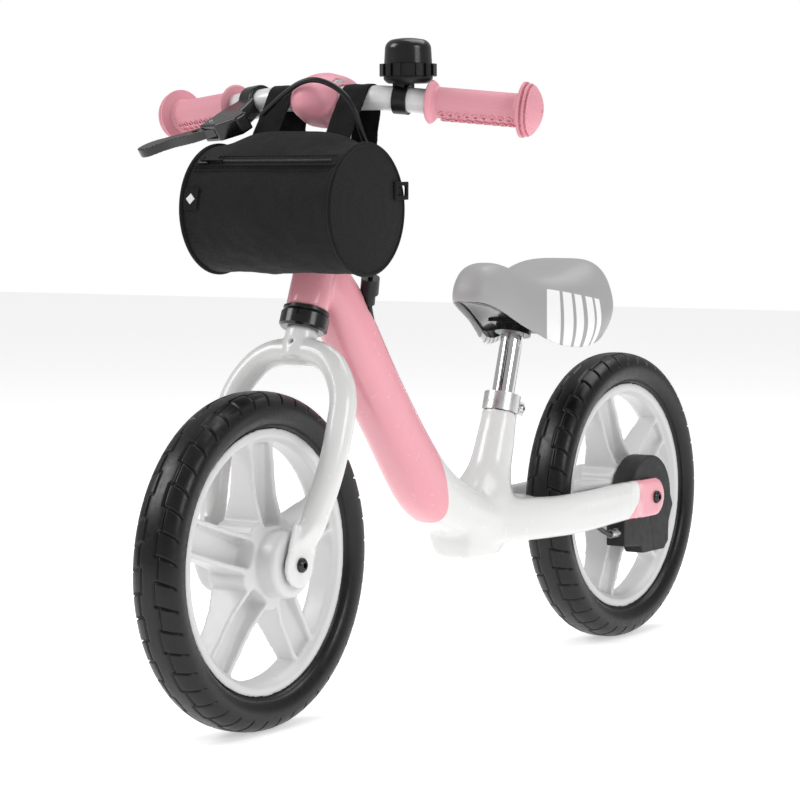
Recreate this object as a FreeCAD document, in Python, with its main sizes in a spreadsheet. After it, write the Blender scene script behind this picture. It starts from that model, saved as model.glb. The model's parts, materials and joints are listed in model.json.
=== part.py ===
import FreeCAD, Part
import math
import operator
import os
import sys

import Sketcher
from FreeCAD import Placement, Rotation, Vector

# Child's balance bike with a hand-operated rear band brake.
# Axes: +X is the rider's left, the front wheel points to -Y, +Z is up.
# The origin lies on the ground, midway between the two wheels, with the steering straight.

DOC = FreeCAD.newDocument("balance_bike")

SIZES = {
    # wheels
    "wheelbase": 640.0,
    "tyre_radius": 150.0,
    "tyre_half_width": 23.5,
    "tyre_fat_radius": 134.0,
    "rim_edge_radius": 121.0,
    "rim_half_width": 15.5,
    "rim_seat_radius": 116.0,
    "rim_inner_radius": 107.0,
    "web_half_width": 10.0,
    "web_floor": 2.5,
    "spoke_waist_radius": 62.0,
    "spoke_waist_half": 13.5,
    "rib_thickness": 5.0,
    "spoke_half_width": 17.0,
    "hub_radius": 31.0,
    "hub_half_width": 23.0,
    "hub_nose_radius": 30.0,
    "hub_nose_end": 44.0,
    "hub_nose_round": 5.0,
    "bearing_radius": 13.0,
    "bearing_width": 8.0,
    "axle_radius": 5.0,
    # steering
    "head_tilt": 21.0,
    "steerer_radius": 12.5,
    "steerer_top": 404.0,
    "head_tube_radius": 19.2,
    "head_tube_bore": 15.6,
    "head_tube_low": 233.0,
    "head_tube_high": 315.0,
    "cup_flange": 4.0,
    "cup_depth": 11.0,
    "collar_radius": 22.0,
    "collar_low": 214.0,
    "collar_high": 229.0,
    "neck_radius": 14.5,
    "fork_tube_radius": 12.2,
    "fork_plate_x": 46.5,
    "fork_plate_thick": 5.2,
    "fork_plate_radius": 20.0,
    "fork_plate_tall": 34.0,
    # cockpit
    "bar_radius": 11.1,
    "bar_bore": 8.9,
    "bar_back": -206.5,
    "bar_height": 556.6,
    "bar_bend_x": 62.0,
    "bar_arm_length": 140.0,
    "grip_start": 45.0,
    "grip_body_radius": 13.8,
    "grip_flange_radius": 19.5,
    "grip_cap_radius": 24.5,
    "grip_cap_start": 131.0,
    "grip_cap_end": 148.5,
    "bell_x": 86.0,
    "bell_radius": 21.3,
    "bell_ring_radius": 25.4,
    "bell_base_low": 568.8,
    "bell_ring_low": 575.0,
    "bell_ring_high": 586.0,
    "bell_top": 609.0,
    "pad_length": 46.0,
    "pad_radius": 24.9,
    "pad_flat": 3.0,
    "pad_y": -201.0,
    "pad_z": 555.0,
    # handlebar bag
    "bag_y": -258.0,
    "bag_z": 458.0,
    "bag_radius": 57.0,
    "bag_half_length": 81.0,
    "bag_relief": 36.0,
    "piping_radius": 2.3,
    "zip_angle": 42.0,
    "badge_angle": 80.0,
    "strap_inner_x": 25.2,
    "strap_outer_x": 54.5,
    "strap_thick": 1.6,
    # frame
    "seat_tilt": 17.8,
    "seat_y": 99.0,
    "seat_z": 272.0,
    "post_radius": 11.1,
    "post_fit": 0.05,
    "pan_wall": 2.6,
    "seat_tube_radius": 17.6,
    "seat_tube_top": -20.0,
    "clamp_radius": 18.2,
    "clamp_tall": 18.0,
    "lug_bottom": 116.0,
    "lug_half_width": 20.0,
    "lug_front": 6.0,
    "lug_back": 62.0,
    "stay_x": 48.0,
    "dropout_x": 46.0,
    "dropout_thick": 6.0,
    "dropout_radius": 20.0,
    # brake
    "drum_radius": 34.0,
    "drum_in": 24.4,
    "drum_out": 40.0,
    "band_gap": 0.6,
    "band_thick": 2.0,
    "brake_radius": 43.5,
    "brake_wall": 2.5,
    "brake_in": 22.0,
    "brake_out": 45.5,
    # cables
    "cable_radius": 2.5,
    "cable_bore": 3.0,
}

SHEET = DOC.addObject("Spreadsheet::Sheet", "sizes")
for row, (name, number) in enumerate(SIZES.items(), start=1):
    SHEET.set(f"A{row}", name)
    SHEET.set(f"B{row}", str(number))
    SHEET.setAlias(f"B{row}", name)
DOC.recompute()


class Size:
    """A number together with the sheet expression that gives it."""

    def __init__(self, text, value):
        self.text = text
        self.value = float(value)

    def join(self, sign, action, other):
        other = as_size(other)
        return Size(f"({self.text} {sign} {other.text})", action(self.value, other.value))

    def __add__(self, other):
        return self.join("+", operator.add, other)

    def __sub__(self, other):
        return self.join("-", operator.sub, other)

    def __mul__(self, other):
        return self.join("*", operator.mul, other)

    def __truediv__(self, other):
        return self.join("/", operator.truediv, other)

    def __neg__(self):
        return Size(f"(0 - {self.text})", -self.value)

    def __float__(self):
        return self.value


def as_size(number):
    """Wrap a plain number, and leave a Size as it is."""
    if isinstance(number, Size):
        return number
    return Size(repr(float(number)), number)


def size(name):
    """The sheet's value of that name, as a Size."""
    return Size(f"sizes.{name}", getattr(SHEET, name))


def number(name):
    """The sheet's value of that name, as a plain number."""
    return float(getattr(SHEET, name))


def bind(thing, setting, value):
    """Set a property from the sheet, by an expression."""
    value = as_size(value)
    thing.setExpression(setting, value.text)


NODES = []


def new_body(label):
    """A PartDesign body whose label names the node."""
    body = DOC.addObject("PartDesign::Body", label)
    body.Label = label
    NODES.append(body)
    return body


def shaped(label, shape, place=None):
    """A sub-part whose shape is built by Part's functions."""
    feature = DOC.addObject("Part::Feature", label)
    feature.Label = label
    feature.Shape = shape
    if place is not None:
        feature.Placement = place
    NODES.append(feature)
    return feature


def base_plane(body, role):
    """The body's own origin plane of that role."""
    return [item for item in body.Origin.OriginFeatures if item.Role == role][0]


def arc_centre(start, end, radius):
    """Centre of the shorter arc from start to end; a negative radius turns clockwise."""
    middle = (start + end) * 0.5
    half = (end - start).Length / 2
    reach = math.sqrt(max(radius * radius - half * half, 0.0))
    along = (end - start).normalize()
    left = Vector(-along.y, along.x, 0)
    return middle + left * (reach if radius > 0 else -reach)


def sketch(body, role, outline, lift=0.0):
    """A closed sketch; each corner is (x, y), or (x, y, radius) for an arc that ends there."""
    drawing = body.newObject("Sketcher::SketchObject", body.Label + "_outline")
    drawing.AttachmentSupport = [(base_plane(body, role), "")]
    drawing.MapMode = "FlatFace"
    if float(lift):
        drawing.AttachmentOffset = Placement(Vector(0, 0, float(lift)), Rotation())
        bind(drawing, "AttachmentOffset.Base.z", lift)
    corners = [(as_size(c[0]), as_size(c[1])) for c in outline]
    bends = [c[2] if len(c) > 2 else None for c in outline]
    spots = [Vector(float(x), float(y), 0) for x, y in corners]
    count = len(spots)
    ends = []
    for i in range(count):
        start = spots[i]
        end = spots[(i + 1) % count]
        bend = bends[(i + 1) % count]
        if bend is None:
            drawing.addGeometry(Part.LineSegment(start, end))
            ends.append((1, 2))
            continue
        centre = arc_centre(start, end, float(bend))
        first, last = (start, end) if float(bend) > 0 else (end, start)
        circle = Part.Circle(centre, Vector(0, 0, 1), abs(float(bend)))
        low = math.atan2(first.y - centre.y, first.x - centre.x)
        high = math.atan2(last.y - centre.y, last.x - centre.x)
        drawing.addGeometry(Part.ArcOfCircle(circle, low, high))
        ends.append((1, 2) if float(bend) > 0 else (2, 1))
    for i in range(count):
        after = (i + 1) % count
        drawing.addConstraint(Sketcher.Constraint("Coincident", i, ends[i][1], after, ends[after][0]))
    for i in range(count):
        for axis, kind in enumerate(("DistanceX", "DistanceY")):
            spot = spots[i][axis]
            rule = Sketcher.Constraint(kind, -1, 1, i, ends[i][0], spot)
            place = drawing.addConstraint(rule)
            drawing.renameConstraint(place, f"corner{i}{'xy'[axis]}")
            if "sizes" in corners[i][axis].text:
                bind(drawing, f"Constraints.corner{i}{'xy'[axis]}", corners[i][axis])
    for i in range(count):
        bend = bends[(i + 1) % count]
        if bend is not None:
            bend = as_size(bend)
            if bend.value < 0:
                bend = -bend
            place = drawing.addConstraint(Sketcher.Constraint("Radius", i, bend.value))
            drawing.renameConstraint(place, f"bend{i}")
            if "sizes" in bend.text:
                bind(drawing, f"Constraints.bend{i}", bend)
    return drawing


def spun(label, outline, place):
    """A body of revolution: corners are (radius, height) and the axis is the body's Z."""
    body = new_body(label)
    turn = body.newObject("PartDesign::Revolution", label + "_turn")
    turn.Profile = sketch(body, "XZ_Plane", outline)
    turn.ReferenceAxis = (turn.Profile[0], ["V_Axis"])
    turn.Angle = 360
    body.Placement = place
    DOC.recompute()
    return body


def padded(label, outline, thick, place, lift=0.0):
    """A flat body: the outline lies in the body's XY plane and rises along its Z."""
    body = new_body(label)
    pad = body.newObject("PartDesign::Pad", label + "_pad")
    pad.Profile = sketch(body, "XY_Plane", outline, lift)
    bind(pad, "Length", thick)
    body.Placement = place
    DOC.recompute()
    return body


def pocket(body, outline, deep, lift=0.0, upward=False, copies=1):
    """Cut an outline out of the body, downwards from lift unless upward is set."""
    before = body.Shape.Volume
    cut = body.newObject("PartDesign::Pocket", body.Label + "_pocket")
    cut.Profile = sketch(body, "XY_Plane", outline, lift)
    bind(cut, "Length", deep)
    cut.Reversed = upward
    DOC.recompute()
    if copies > 1:
        ring = body.newObject("PartDesign::PolarPattern", body.Label + "_ring")
        ring.Originals = [cut]
        ring.Axis = (cut.Profile[0], ["N_Axis"])
        ring.Angle = 360
        ring.Occurrences = copies
        body.Tip = ring
        DOC.recompute()
    if body.Shape.Volume > before - 0.01:
        sys.exit(f"{body.Label}: a pocket cut nothing")
    return cut


def ring_outline(inner, outer, low, high):
    """Outline of a plain ring, as (radius, height) corners."""
    return [(inner, low), (outer, low), (outer, high), (inner, high)]


def hexagon(flats):
    """Six corners of a hexagon, given the width across its flats."""
    corner = flats / math.sqrt(3)
    turns = [math.radians(60 * i) for i in range(6)]
    return [(corner * math.cos(a), corner * math.sin(a)) for a in turns]


def lying(x, y, z, spin=0.0):
    """A placement whose Z axis lies along +X, at that point."""
    return Placement(Vector(x, y, z), Rotation(Vector(0, 1, 0), 90) * Rotation(Vector(0, 0, 1), spin))


def facing(point, direction):
    """A placement whose Z axis follows the direction."""
    return Placement(point, Rotation(Vector(0, 0, 1), direction))


def path_through(points, bend=None):
    """Straight runs joined by tangent arcs; without a bend each arc is as large as its runs allow."""
    edges = []
    radii = []
    start = points[0]
    for i in range(1, len(points) - 1):
        before = points[i] - points[i - 1]
        after = points[i + 1] - points[i]
        half_turn = before.getAngle(after) / 2
        shorter = min(before.Length, after.Length)
        radius = bend if bend else 0.45 * shorter / math.tan(half_turn)
        reach = radius * math.tan(half_turn)
        first = points[i] - before.normalize() * reach
        last = points[i] + after.normalize() * reach
        inward = (after - before).normalize()
        middle = points[i] + inward * (radius / math.cos(half_turn) - radius)
        edges.append(Part.LineSegment(start, first).toShape())
        edges.append(Part.Arc(first, middle, last).toShape())
        radii.append(radius)
        start = last
    edges.append(Part.LineSegment(start, points[-1]).toShape())
    return Part.Wire(edges), radii


def tube(points, radius, bend=None, name=""):
    """A round bar swept along a path, with its volume compared with section times length."""
    path, radii = path_through(points, bend)
    direction = points[1] - points[0]
    section = Part.Wire(Part.Circle(points[0], direction, radius).toShape())
    solid = path.makePipeShell([section], True, True)
    expected = math.pi * radius * radius * path.Length
    if abs(solid.Volume / expected - 1) > 0.02:
        sys.exit(f"{name}: tube volume {solid.Volume:.0f}, expected {expected:.0f}")
    if name:
        print(name, "length", round(path.Length, 1), "radii", [round(r, 1) for r in radii])
    return solid


def cylinder(radius, start, end):
    """A round bar from one point to another."""
    return Part.makeCylinder(radius, (end - start).Length, start, end - start)


def oval(centre, direction, half_width, half_depth, squareness=2.6):
    """A rounded closed outline square to a direction that lies in the YZ plane."""
    depth_way = Vector(1, 0, 0).cross(direction).normalize()
    spots = []
    for i in range(16):
        turn = math.pi * i / 8
        across = math.copysign(abs(math.cos(turn)) ** (2 / squareness), math.cos(turn))
        deep = math.copysign(abs(math.sin(turn)) ** (2 / squareness), math.sin(turn))
        spots.append(centre + Vector(across * half_width, 0, 0) + depth_way * (deep * half_depth))
    curve = Part.BSplineCurve()
    curve.interpolate(spots, PeriodicFlag=True)
    return Part.Wire(curve.toShape())


def ovals_along(stations, squareness=2.6):
    """Loft through (x, y, z, half width, half depth) stations."""
    centres = [Vector(*row[:3]) for row in stations]
    wires = []
    for i, row in enumerate(stations):
        ahead = centres[min(i + 1, len(centres) - 1)] - centres[max(i - 1, 0)]
        direction = Vector(0, ahead.y, ahead.z)
        wires.append(oval(centres[i], direction, row[3], row[4], squareness))
    return Part.makeLoft(wires, True, False)


def mirrored(shape):
    """The same shape on the other side of the bike."""
    return shape.mirror(Vector(0, 0, 0), Vector(1, 0, 0))


def one_solid(shape):
    """The single solid of a shape."""
    solids = shape.Solids
    if len(solids) != 1:
        sys.exit(f"expected one solid, found {len(solids)}")
    return solids[0]


# ---------------------------------------------------------------- reference places

HALF_BASE = number("wheelbase") / 2
AXLE_Z = number("tyre_radius")
FRONT_AXLE = Vector(0, -HALF_BASE, AXLE_Z)
REAR_AXLE = Vector(0, HALF_BASE, AXLE_Z)
STEER = Placement(FRONT_AXLE, Rotation(Vector(1, 0, 0), -number("head_tilt")))
SEAT = Placement(
    Vector(0, number("seat_y"), number("seat_z")),
    Rotation(Vector(1, 0, 0), -number("seat_tilt")),
)
BEND = Vector(number("bar_bend_x"), number("bar_back"), number("bar_height"))
ARM = Vector(0.960, 0.265, -0.092).normalize()


def on_side(vector, side):
    """The vector on the rider's left (+1) or right (-1)."""
    return Vector(vector.x * side, vector.y, vector.z)


def in_steering(shape):
    """Move a shape drawn about the steering axis into its place."""
    moved = shape.copy()
    moved.Placement = STEER.multiply(moved.Placement)
    return moved


# ---------------------------------------------------------------- wheels

def build_tyre(label, centre):
    """Foam tyre: a round-shouldered ring seated on the rim."""
    wide = size("tyre_half_width")
    fat = size("tyre_fat_radius")
    edge = size("rim_half_width")
    outline = [
        (size("rim_seat_radius"), -edge + 2),
        (size("rim_edge_radius"), -edge),
        (fat, -wide, -24.0),
        (size("tyre_radius") - 3, -wide + 7, 14.0),
        (size("tyre_radius"), 0, 70.0),
        (size("tyre_radius") - 3, wide - 7, 70.0),
        (fat, wide, 14.0),
        (size("rim_edge_radius"), edge, -24.0),
        (size("rim_seat_radius"), edge - 2),
    ]
    return spun(label, outline, lying(centre.x, centre.y, centre.z))


def window_outline():
    """One opening between two spokes, centred on the sketch's X axis."""
    half = math.radians(36)
    side = size("spoke_half_width")
    tip = side / math.sin(half)
    round_off = 9.0
    reach = round_off / math.tan(half)
    inner_x = tip + reach * math.cos(half)
    inner_y = reach * math.sin(half)
    far = math.sqrt((number("rim_inner_radius") - 1) ** 2 - number("spoke_half_width") ** 2)
    outer_x = side * math.sin(half) + far * math.cos(half)
    outer_y = -side * math.cos(half) + far * math.sin(half)
    return [
        (inner_x, -inner_y, -round_off),
        (outer_x, -outer_y),
        (outer_x, outer_y, number("rim_inner_radius") - 1),
        (inner_x, inner_y),
    ]


def spoke_channel_outline():
    """The hollow between the two ribs of one spoke, centred on the sketch's X axis."""
    side = size("spoke_half_width") - size("rib_thickness")
    near = size("hub_radius") + 1.5
    far = size("rim_inner_radius") - 2
    return [(near, -side), (far, -side), (far, side), (near, side)]


def build_rim(label, centre, spin, nose_left):
    """One-piece plastic rim: tyre seat, five double-rib spokes and the hub."""
    seat = size("rim_seat_radius")
    edge = size("rim_half_width")
    inner = size("rim_inner_radius")
    web = size("web_half_width")
    hub = size("hub_radius")
    hub_side = size("hub_half_width")
    nose = size("hub_nose_radius")
    bore = size("bearing_radius")
    nose_right = -size("hub_nose_end")
    turn = number("hub_nose_round")
    waist = size("spoke_waist_radius")
    waist_half = size("spoke_waist_half")
    outline = [
        (bore, nose_right),
        (nose - turn, nose_right),
        (nose, nose_right + turn, turn),
        (nose, -hub_side),
        (hub, -hub_side),
        (waist, -waist_half),
        (inner, -web),
        (inner + 3, -edge),
        (size("rim_edge_radius"), -edge),
        (seat, -edge + 2),
        (seat, edge - 2),
        (size("rim_edge_radius"), edge),
        (inner + 3, edge),
        (inner, web),
        (waist, waist_half),
        (hub, hub_side),
    ]
    if nose_left > number("hub_half_width") + turn:
        outline += [(nose, hub_side), (nose, nose_left - turn), (nose - turn, nose_left, turn)]
    outline.append((bore, nose_left))
    body = spun(label, outline, lying(centre.x, centre.y, centre.z, spin))
    window = window_outline()
    pocket(body, window, hub_side * 2 + 2, hub_side + 1, copies=5)
    channel = spoke_channel_outline()
    deep = hub_side - size("web_floor")
    for lift, upward in ((hub_side, False), (-hub_side, True)):
        turned = [spun_corner(corner, 36) for corner in channel]
        pocket(body, turned, deep, lift, upward, copies=5)
    return body


def spun_corner(corner, degrees):
    """Turn a sketch corner about the sketch's origin."""
    cos = math.cos(math.radians(degrees))
    sin = math.sin(math.radians(degrees))
    return (corner[0] * cos - corner[1] * sin, corner[0] * sin + corner[1] * cos)


def build_bearing(label, x, centre):
    """A sealed ball bearing, drawn as its shielded ring."""
    half = size("bearing_width") / 2
    outline = ring_outline(size("axle_radius") + 0.05, size("bearing_radius"), -half, half)
    return spun(label, outline, lying(x, centre.y, centre.z))


def build_bolt(label, tip, direction, head_radius, head_tall, shank_radius, shank_long, socket):
    """A button-head bolt with a hexagon socket; tip is the underside of its head."""
    outline = [
        (0, -shank_long),
        (shank_radius, -shank_long),
        (shank_radius, 0),
        (head_radius, 0),
        (head_radius, head_tall * 0.45),
        (head_radius * 0.62, head_tall, head_radius * 1.1),
        (0, head_tall),
    ]
    body = spun(label, outline, facing(tip, direction))
    pocket(body, hexagon(socket), head_tall * 0.8, head_tall + 0.01)
    return body


def build_wheels():
    """Tyres, rims, bearings, axles and their bolts."""
    nose = number("hub_nose_end")
    inset = nose - number("bearing_width") / 2
    build_tyre("front_tyre", FRONT_AXLE)
    build_rim("front_rim", FRONT_AXLE, 72, nose)
    build_tyre("rear_tyre", REAR_AXLE)
    build_rim("rear_rim", REAR_AXLE, 18, number("hub_half_width") + 1)
    build_bearing("front_bearing_left", inset, FRONT_AXLE)
    build_bearing("front_bearing_right", -inset, FRONT_AXLE)
    left_inset = number("drum_in") - 0.4 - number("bearing_width") / 2
    build_bearing("rear_bearing_left", left_inset, REAR_AXLE)
    build_bearing("rear_bearing_right", -inset, REAR_AXLE)
    fork_face = number("fork_plate_x")
    drop_face = number("dropout_x")
    rear_sides = (nose + 0.3, number("brake_out"))
    for name, centre, face, left_sides in (
        ("front_axle", FRONT_AXLE, fork_face, (nose + 0.3, fork_face)),
        ("rear_axle", REAR_AXLE, drop_face, rear_sides),
    ):
        radius = size("axle_radius")
        shoulder = radius + 3
        right_sides = (nose + 0.3, face)
        outline = [
            (3.05, -right_sides[1]),
            (shoulder, -right_sides[1]),
            (shoulder, -right_sides[0]),
            (radius, -right_sides[0]),
        ]
        if name == "front_axle":
            outline += [(radius, left_sides[0]), (shoulder, left_sides[0])]
            outline += [(shoulder, left_sides[1]), (3.05, left_sides[1])]
        else:
            outline += [(radius, left_sides[1]), (3.05, left_sides[1])]
        spun(name, outline, lying(0, centre.y, centre.z))
    front_face = number("fork_plate_x") + number("fork_plate_thick")
    rear_face = number("dropout_x") + number("dropout_thick")
    for end, centre, face in (("front", FRONT_AXLE, front_face), ("rear", REAR_AXLE, rear_face)):
        for side, word in ((1, "left"), (-1, "right")):
            tip = Vector(side * face, centre.y, centre.z)
            build_bolt(f"{end}_bolt_{word}", tip, Vector(side, 0, 0), 6.5, 4.2, 3.0, 24.0, 5.0)


# ---------------------------------------------------------------- steering

def build_fork():
    """Unicrown fork: steerer, neck, bent legs and flattened tips, drawn about the steering axis."""
    radius = number("fork_tube_radius")
    half = [
        Vector(50.5, 0, 16),
        Vector(63.5, 0, 88),
        Vector(60.5, 0, 158),
        Vector(33, 0, 193),
    ]
    route = half + [on_side(point, -1) for point in reversed(half)]
    legs = tube(route, radius, name="fork_legs")
    neck_top = Vector(0, 0, number("collar_low"))
    neck = cylinder(number("neck_radius"), Vector(0, 0, 186), neck_top)
    steerer = cylinder(number("steerer_radius"), neck_top, Vector(0, 0, number("steerer_top")))
    fork = legs.fuse([neck, steerer])
    plate_radius = number("fork_plate_radius")
    for side in (1, -1):
        near = side * number("fork_plate_x")
        far = near + side * number("fork_plate_thick")
        low = min(near, far)
        thick = abs(far - near)
        disc = Part.makeCylinder(plate_radius, thick, Vector(low, 0, 0), Vector(1, 0, 0))
        tall = number("fork_plate_tall")
        slab = Part.makeBox(thick, 2 * plate_radius - 1, tall, Vector(low, 0.5 - plate_radius, 0))
        outside = side * (number("fork_plate_x") + number("fork_plate_thick"))
        corner = Part.makePolygon([
            Vector(outside, -30, 13),
            Vector(outside + side * 15, -30, 13),
            Vector(outside + side * 15, -30, 37),
            Vector(outside, -30, 13),
        ])
        fork = fork.cut(Part.Face(corner).extrude(Vector(0, 60, 0)))
        fork = fork.fuse([disc, slab])
        inside = Part.makeBox(40, 60, 60, Vector(near - 40 if side > 0 else near, -30, -12))
        fork = fork.cut(inside)
        hole = Part.makeCylinder(3.05, 60, Vector(side * 20, 0, 0), Vector(side, 0, 0))
        fork = fork.cut(hole)
    mount_hole = Part.makeCylinder(2.6, 40, Vector(0, -20, 200), Vector(0, 1, 0))
    fork = fork.cut(mount_hole)
    return shaped("fork", one_solid(fork.removeSplitter()), STEER)


def build_headset():
    """Press-in cups, the steering limiter and the stem above them."""
    steerer = size("steerer_radius")
    low = size("head_tube_low")
    high = size("head_tube_high")
    flange = size("cup_flange")
    deep = size("cup_depth")
    bore = size("head_tube_bore")
    lip = size("head_tube_radius") + 1.8
    inside = steerer + 0.05
    lower = [
        (inside, low - flange + 0.3),
        (lip - 1.2, low - flange + 0.3),
        (lip, low - flange + 1.5),
        (lip, low),
        (bore, low),
        (bore, low + deep),
        (inside, low + deep),
    ]
    upper = [
        (inside, high - deep),
        (bore, high - deep),
        (bore, high),
        (lip, high),
        (lip, high + flange - 1.2),
        (lip - 1.2, high + flange),
        (inside, high + flange),
    ]
    spun("headset_lower_cup", lower, STEER)
    spun("headset_upper_cup", upper, STEER)
    collar_low = size("collar_low")
    collar_high = size("collar_high")
    outside = size("collar_radius")
    ring = [
        (steerer, collar_low),
        (outside - 2, collar_low),
        (outside, collar_low + 2),
        (outside, collar_high - 1.5),
        (outside - 1.5, collar_high),
        (steerer, collar_high),
    ]
    collar = spun("limiter_collar", ring, STEER)
    notch = [(-4, 18), (4, 18), (4, 26), (-4, 26)]
    turned = [spun_corner(corner, 205) for corner in notch]
    pocket(collar, turned, 6, collar_high + 0.01)


def bar_shape(radius, extra=0.0):
    """The handlebar's swept rod of that radius."""
    end = BEND + ARM * (number("bar_arm_length") + extra)
    route = [on_side(end, -1), on_side(BEND, -1), BEND, end]
    return tube(route, radius, bend=40.0)


def build_stem():
    """Quill column with a forward clamp that holds the bar."""
    foot = number("head_tube_high") + number("cup_flange") + 0.3
    column = cylinder(15.5, Vector(0, 0, foot), Vector(0, 0, 424))
    column = in_steering(column)
    centre = Vector(0, number("bar_back"), number("bar_height"))
    clamp = Part.makeCylinder(17.0, 36, centre - Vector(18, 0, 0), Vector(1, 0, 0))
    behind = STEER.multVec(Vector(0, 0, 414))
    arm = cylinder(12.5, behind, centre)
    stem = column.fuse([clamp, arm])
    steerer = in_steering(cylinder(number("steerer_radius"), Vector(0, 0, 0), Vector(0, 0, number("steerer_top"))))
    stem = stem.cut(steerer)
    stem = stem.cut(bar_shape(number("bar_radius")))
    return shaped("stem", one_solid(stem.removeSplitter()))


def egg(centre, half_length, radius):
    """A solid egg, round about its long axis along Y, with a small flat at each end."""
    flat = number("pad_flat")
    curve = Part.Ellipse(Vector(0, 0, 0), half_length, radius)
    start = math.asin(flat / radius)
    upper = Part.Arc(curve, start, math.pi - start).toShape()
    reach = half_length * math.cos(start)
    corners = [
        Vector(-reach, flat, 0),
        Vector(-reach, 0, 0),
        Vector(reach, 0, 0),
        Vector(reach, flat, 0),
    ]
    outline = Part.Wire([upper] + Part.makePolygon(corners).Edges)
    solid = Part.Face(outline).revolve(Vector(0, 0, 0), Vector(1, 0, 0), 360)
    solid.rotate(Vector(0, 0, 0), Vector(0, 0, 1), 90)
    solid.translate(centre)
    return solid


def build_bar(stem):
    """The handlebar tube, its two grips and the soft pad over the clamp."""
    rod = bar_shape(number("bar_radius"))
    hollow = bar_shape(number("bar_bore"), 1.0)
    shaped("handlebar", one_solid(rod.cut(hollow)))
    bore = size("bar_radius")
    body = size("grip_body_radius")
    flange = size("grip_flange_radius")
    cap = size("grip_cap_radius")
    cap_start = size("grip_cap_start")
    start = size("grip_start")
    end = size("grip_cap_end")
    grip = [
        (bore, start),
        (flange - 1.5, start),
        (flange, start + 1.5),
        (flange - 1, start + 3.5),
        (body + 1, start + 6, 6.0),
        (body, start + 9),
        (body, cap_start - 6),
        (body + 2, cap_start - 2, 8.0),
        (cap, cap_start),
        (cap, cap_start + 2.2),
        (cap - 3.5, cap_start + 2.6),
        (cap - 3.5, cap_start + 4.2),
        (cap - 1.2, cap_start + 4.6),
        (cap - 1.2, cap_start + 6.4),
        (cap - 4.2, cap_start + 6.8),
        (cap - 4.2, cap_start + 8.2),
        (cap - 2.4, cap_start + 8.6),
        (1.5, end, 30.0),
        (1.5, end - 4),
        (0, end - 4),
        (0, size("bar_arm_length") + 0.2),
        (bore, size("bar_arm_length") + 0.2),
    ]
    for side, word in ((1, "left"), (-1, "right")):
        spun(f"grip_{word}", grip, facing(on_side(BEND, side), on_side(ARM, side)))
    pad_centre = Vector(0, number("pad_y"), number("pad_z"))
    pad = egg(pad_centre, number("pad_length"), number("pad_radius"))
    pad = pad.cut(stem.Shape)
    half_rod = Vector(60, 0, 0)
    on_bar = Vector(0, number("bar_back"), number("bar_height"))
    pad = pad.cut(cylinder(number("bar_radius"), on_bar - half_rod, on_bar + half_rod))
    pieces = sorted(pad.Solids, key=lambda solid: solid.Volume)
    shaped("stem_pad", pieces[-1])


# ---------------------------------------------------------------- bell

def build_bell():
    """Twist bell: strap clamp, base, toothed ring and dome, all on a vertical axis."""
    x = number("bell_x")
    reach = (x - BEND.x) / ARM.x
    on_bar = BEND + ARM * reach
    bar_radius = number("bar_radius")
    low = number("bell_base_low")
    clamp = Part.makeCylinder(bar_radius + 2.2, 13, on_bar - ARM * 12, ARM)
    neck = Part.makeBox(12, 17, low - on_bar.z, Vector(x - 11, on_bar.y - 8.5, on_bar.z))
    clamp = clamp.fuse(neck)
    clamp = clamp.cut(cylinder(bar_radius, on_bar - ARM * 40, on_bar + ARM * 40))
    shaped("bell_clamp", sorted(clamp.Solids, key=lambda solid: solid.Volume)[-1])
    place = Placement(Vector(x, on_bar.y, 0), Rotation())
    base_low = size("bell_base_low")
    ring_low = size("bell_ring_low")
    ring_high = size("bell_ring_high")
    ring_out = size("bell_ring_radius")
    radius = size("bell_radius")
    top = size("bell_top")
    base = [
        (0, base_low),
        (radius - 4, base_low),
        (radius + 0.5, base_low + 4, 8.0),
        (radius + 0.5, ring_low - 0.3),
        (radius - 6, ring_low - 0.3),
        (radius - 6, ring_high + 0.5),
        (0, ring_high + 0.5),
    ]
    spun("bell_base", base, place)
    ring = ring_outline(radius - 5.7, ring_out, ring_low, ring_high)
    body = spun("bell_ring", ring, place)
    tooth = [(ring_out - 2.2, -1.6), (ring_out + 1, -2.2), (ring_out + 1, 2.2), (ring_out - 2.2, 1.6)]
    pocket(body, tooth, ring_high - ring_low + 2, ring_high + 1, copies=16)
    crown = radius - 9
    rise = 1.2
    crown_bend = (crown * crown + rise * rise) / (2 * rise)
    dome = [
        (0, ring_high + 0.5),
        (radius - 6, ring_high + 0.5),
        (radius, ring_high + 0.5),
        (radius - 0.8, top - 9),
        (crown, top - rise, 9.0),
        (0, top, crown_bend),
    ]
    spun("bell_dome", dome, place)


# ---------------------------------------------------------------- brake lever

def lever_place():
    """The lever's frame: X along the right-hand grip, Y forward and down, Z its pivot axis."""
    outward = on_side(ARM, -1)
    forward = Vector(0, -0.886, -0.463)
    pivot_axis = outward.cross(forward).normalize()
    return Placement(
        on_side(BEND, -1),
        Rotation(outward, pivot_axis.cross(outward), pivot_axis, "ZXY"),
    )


PIVOT = (26.0, 50.0)


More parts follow.
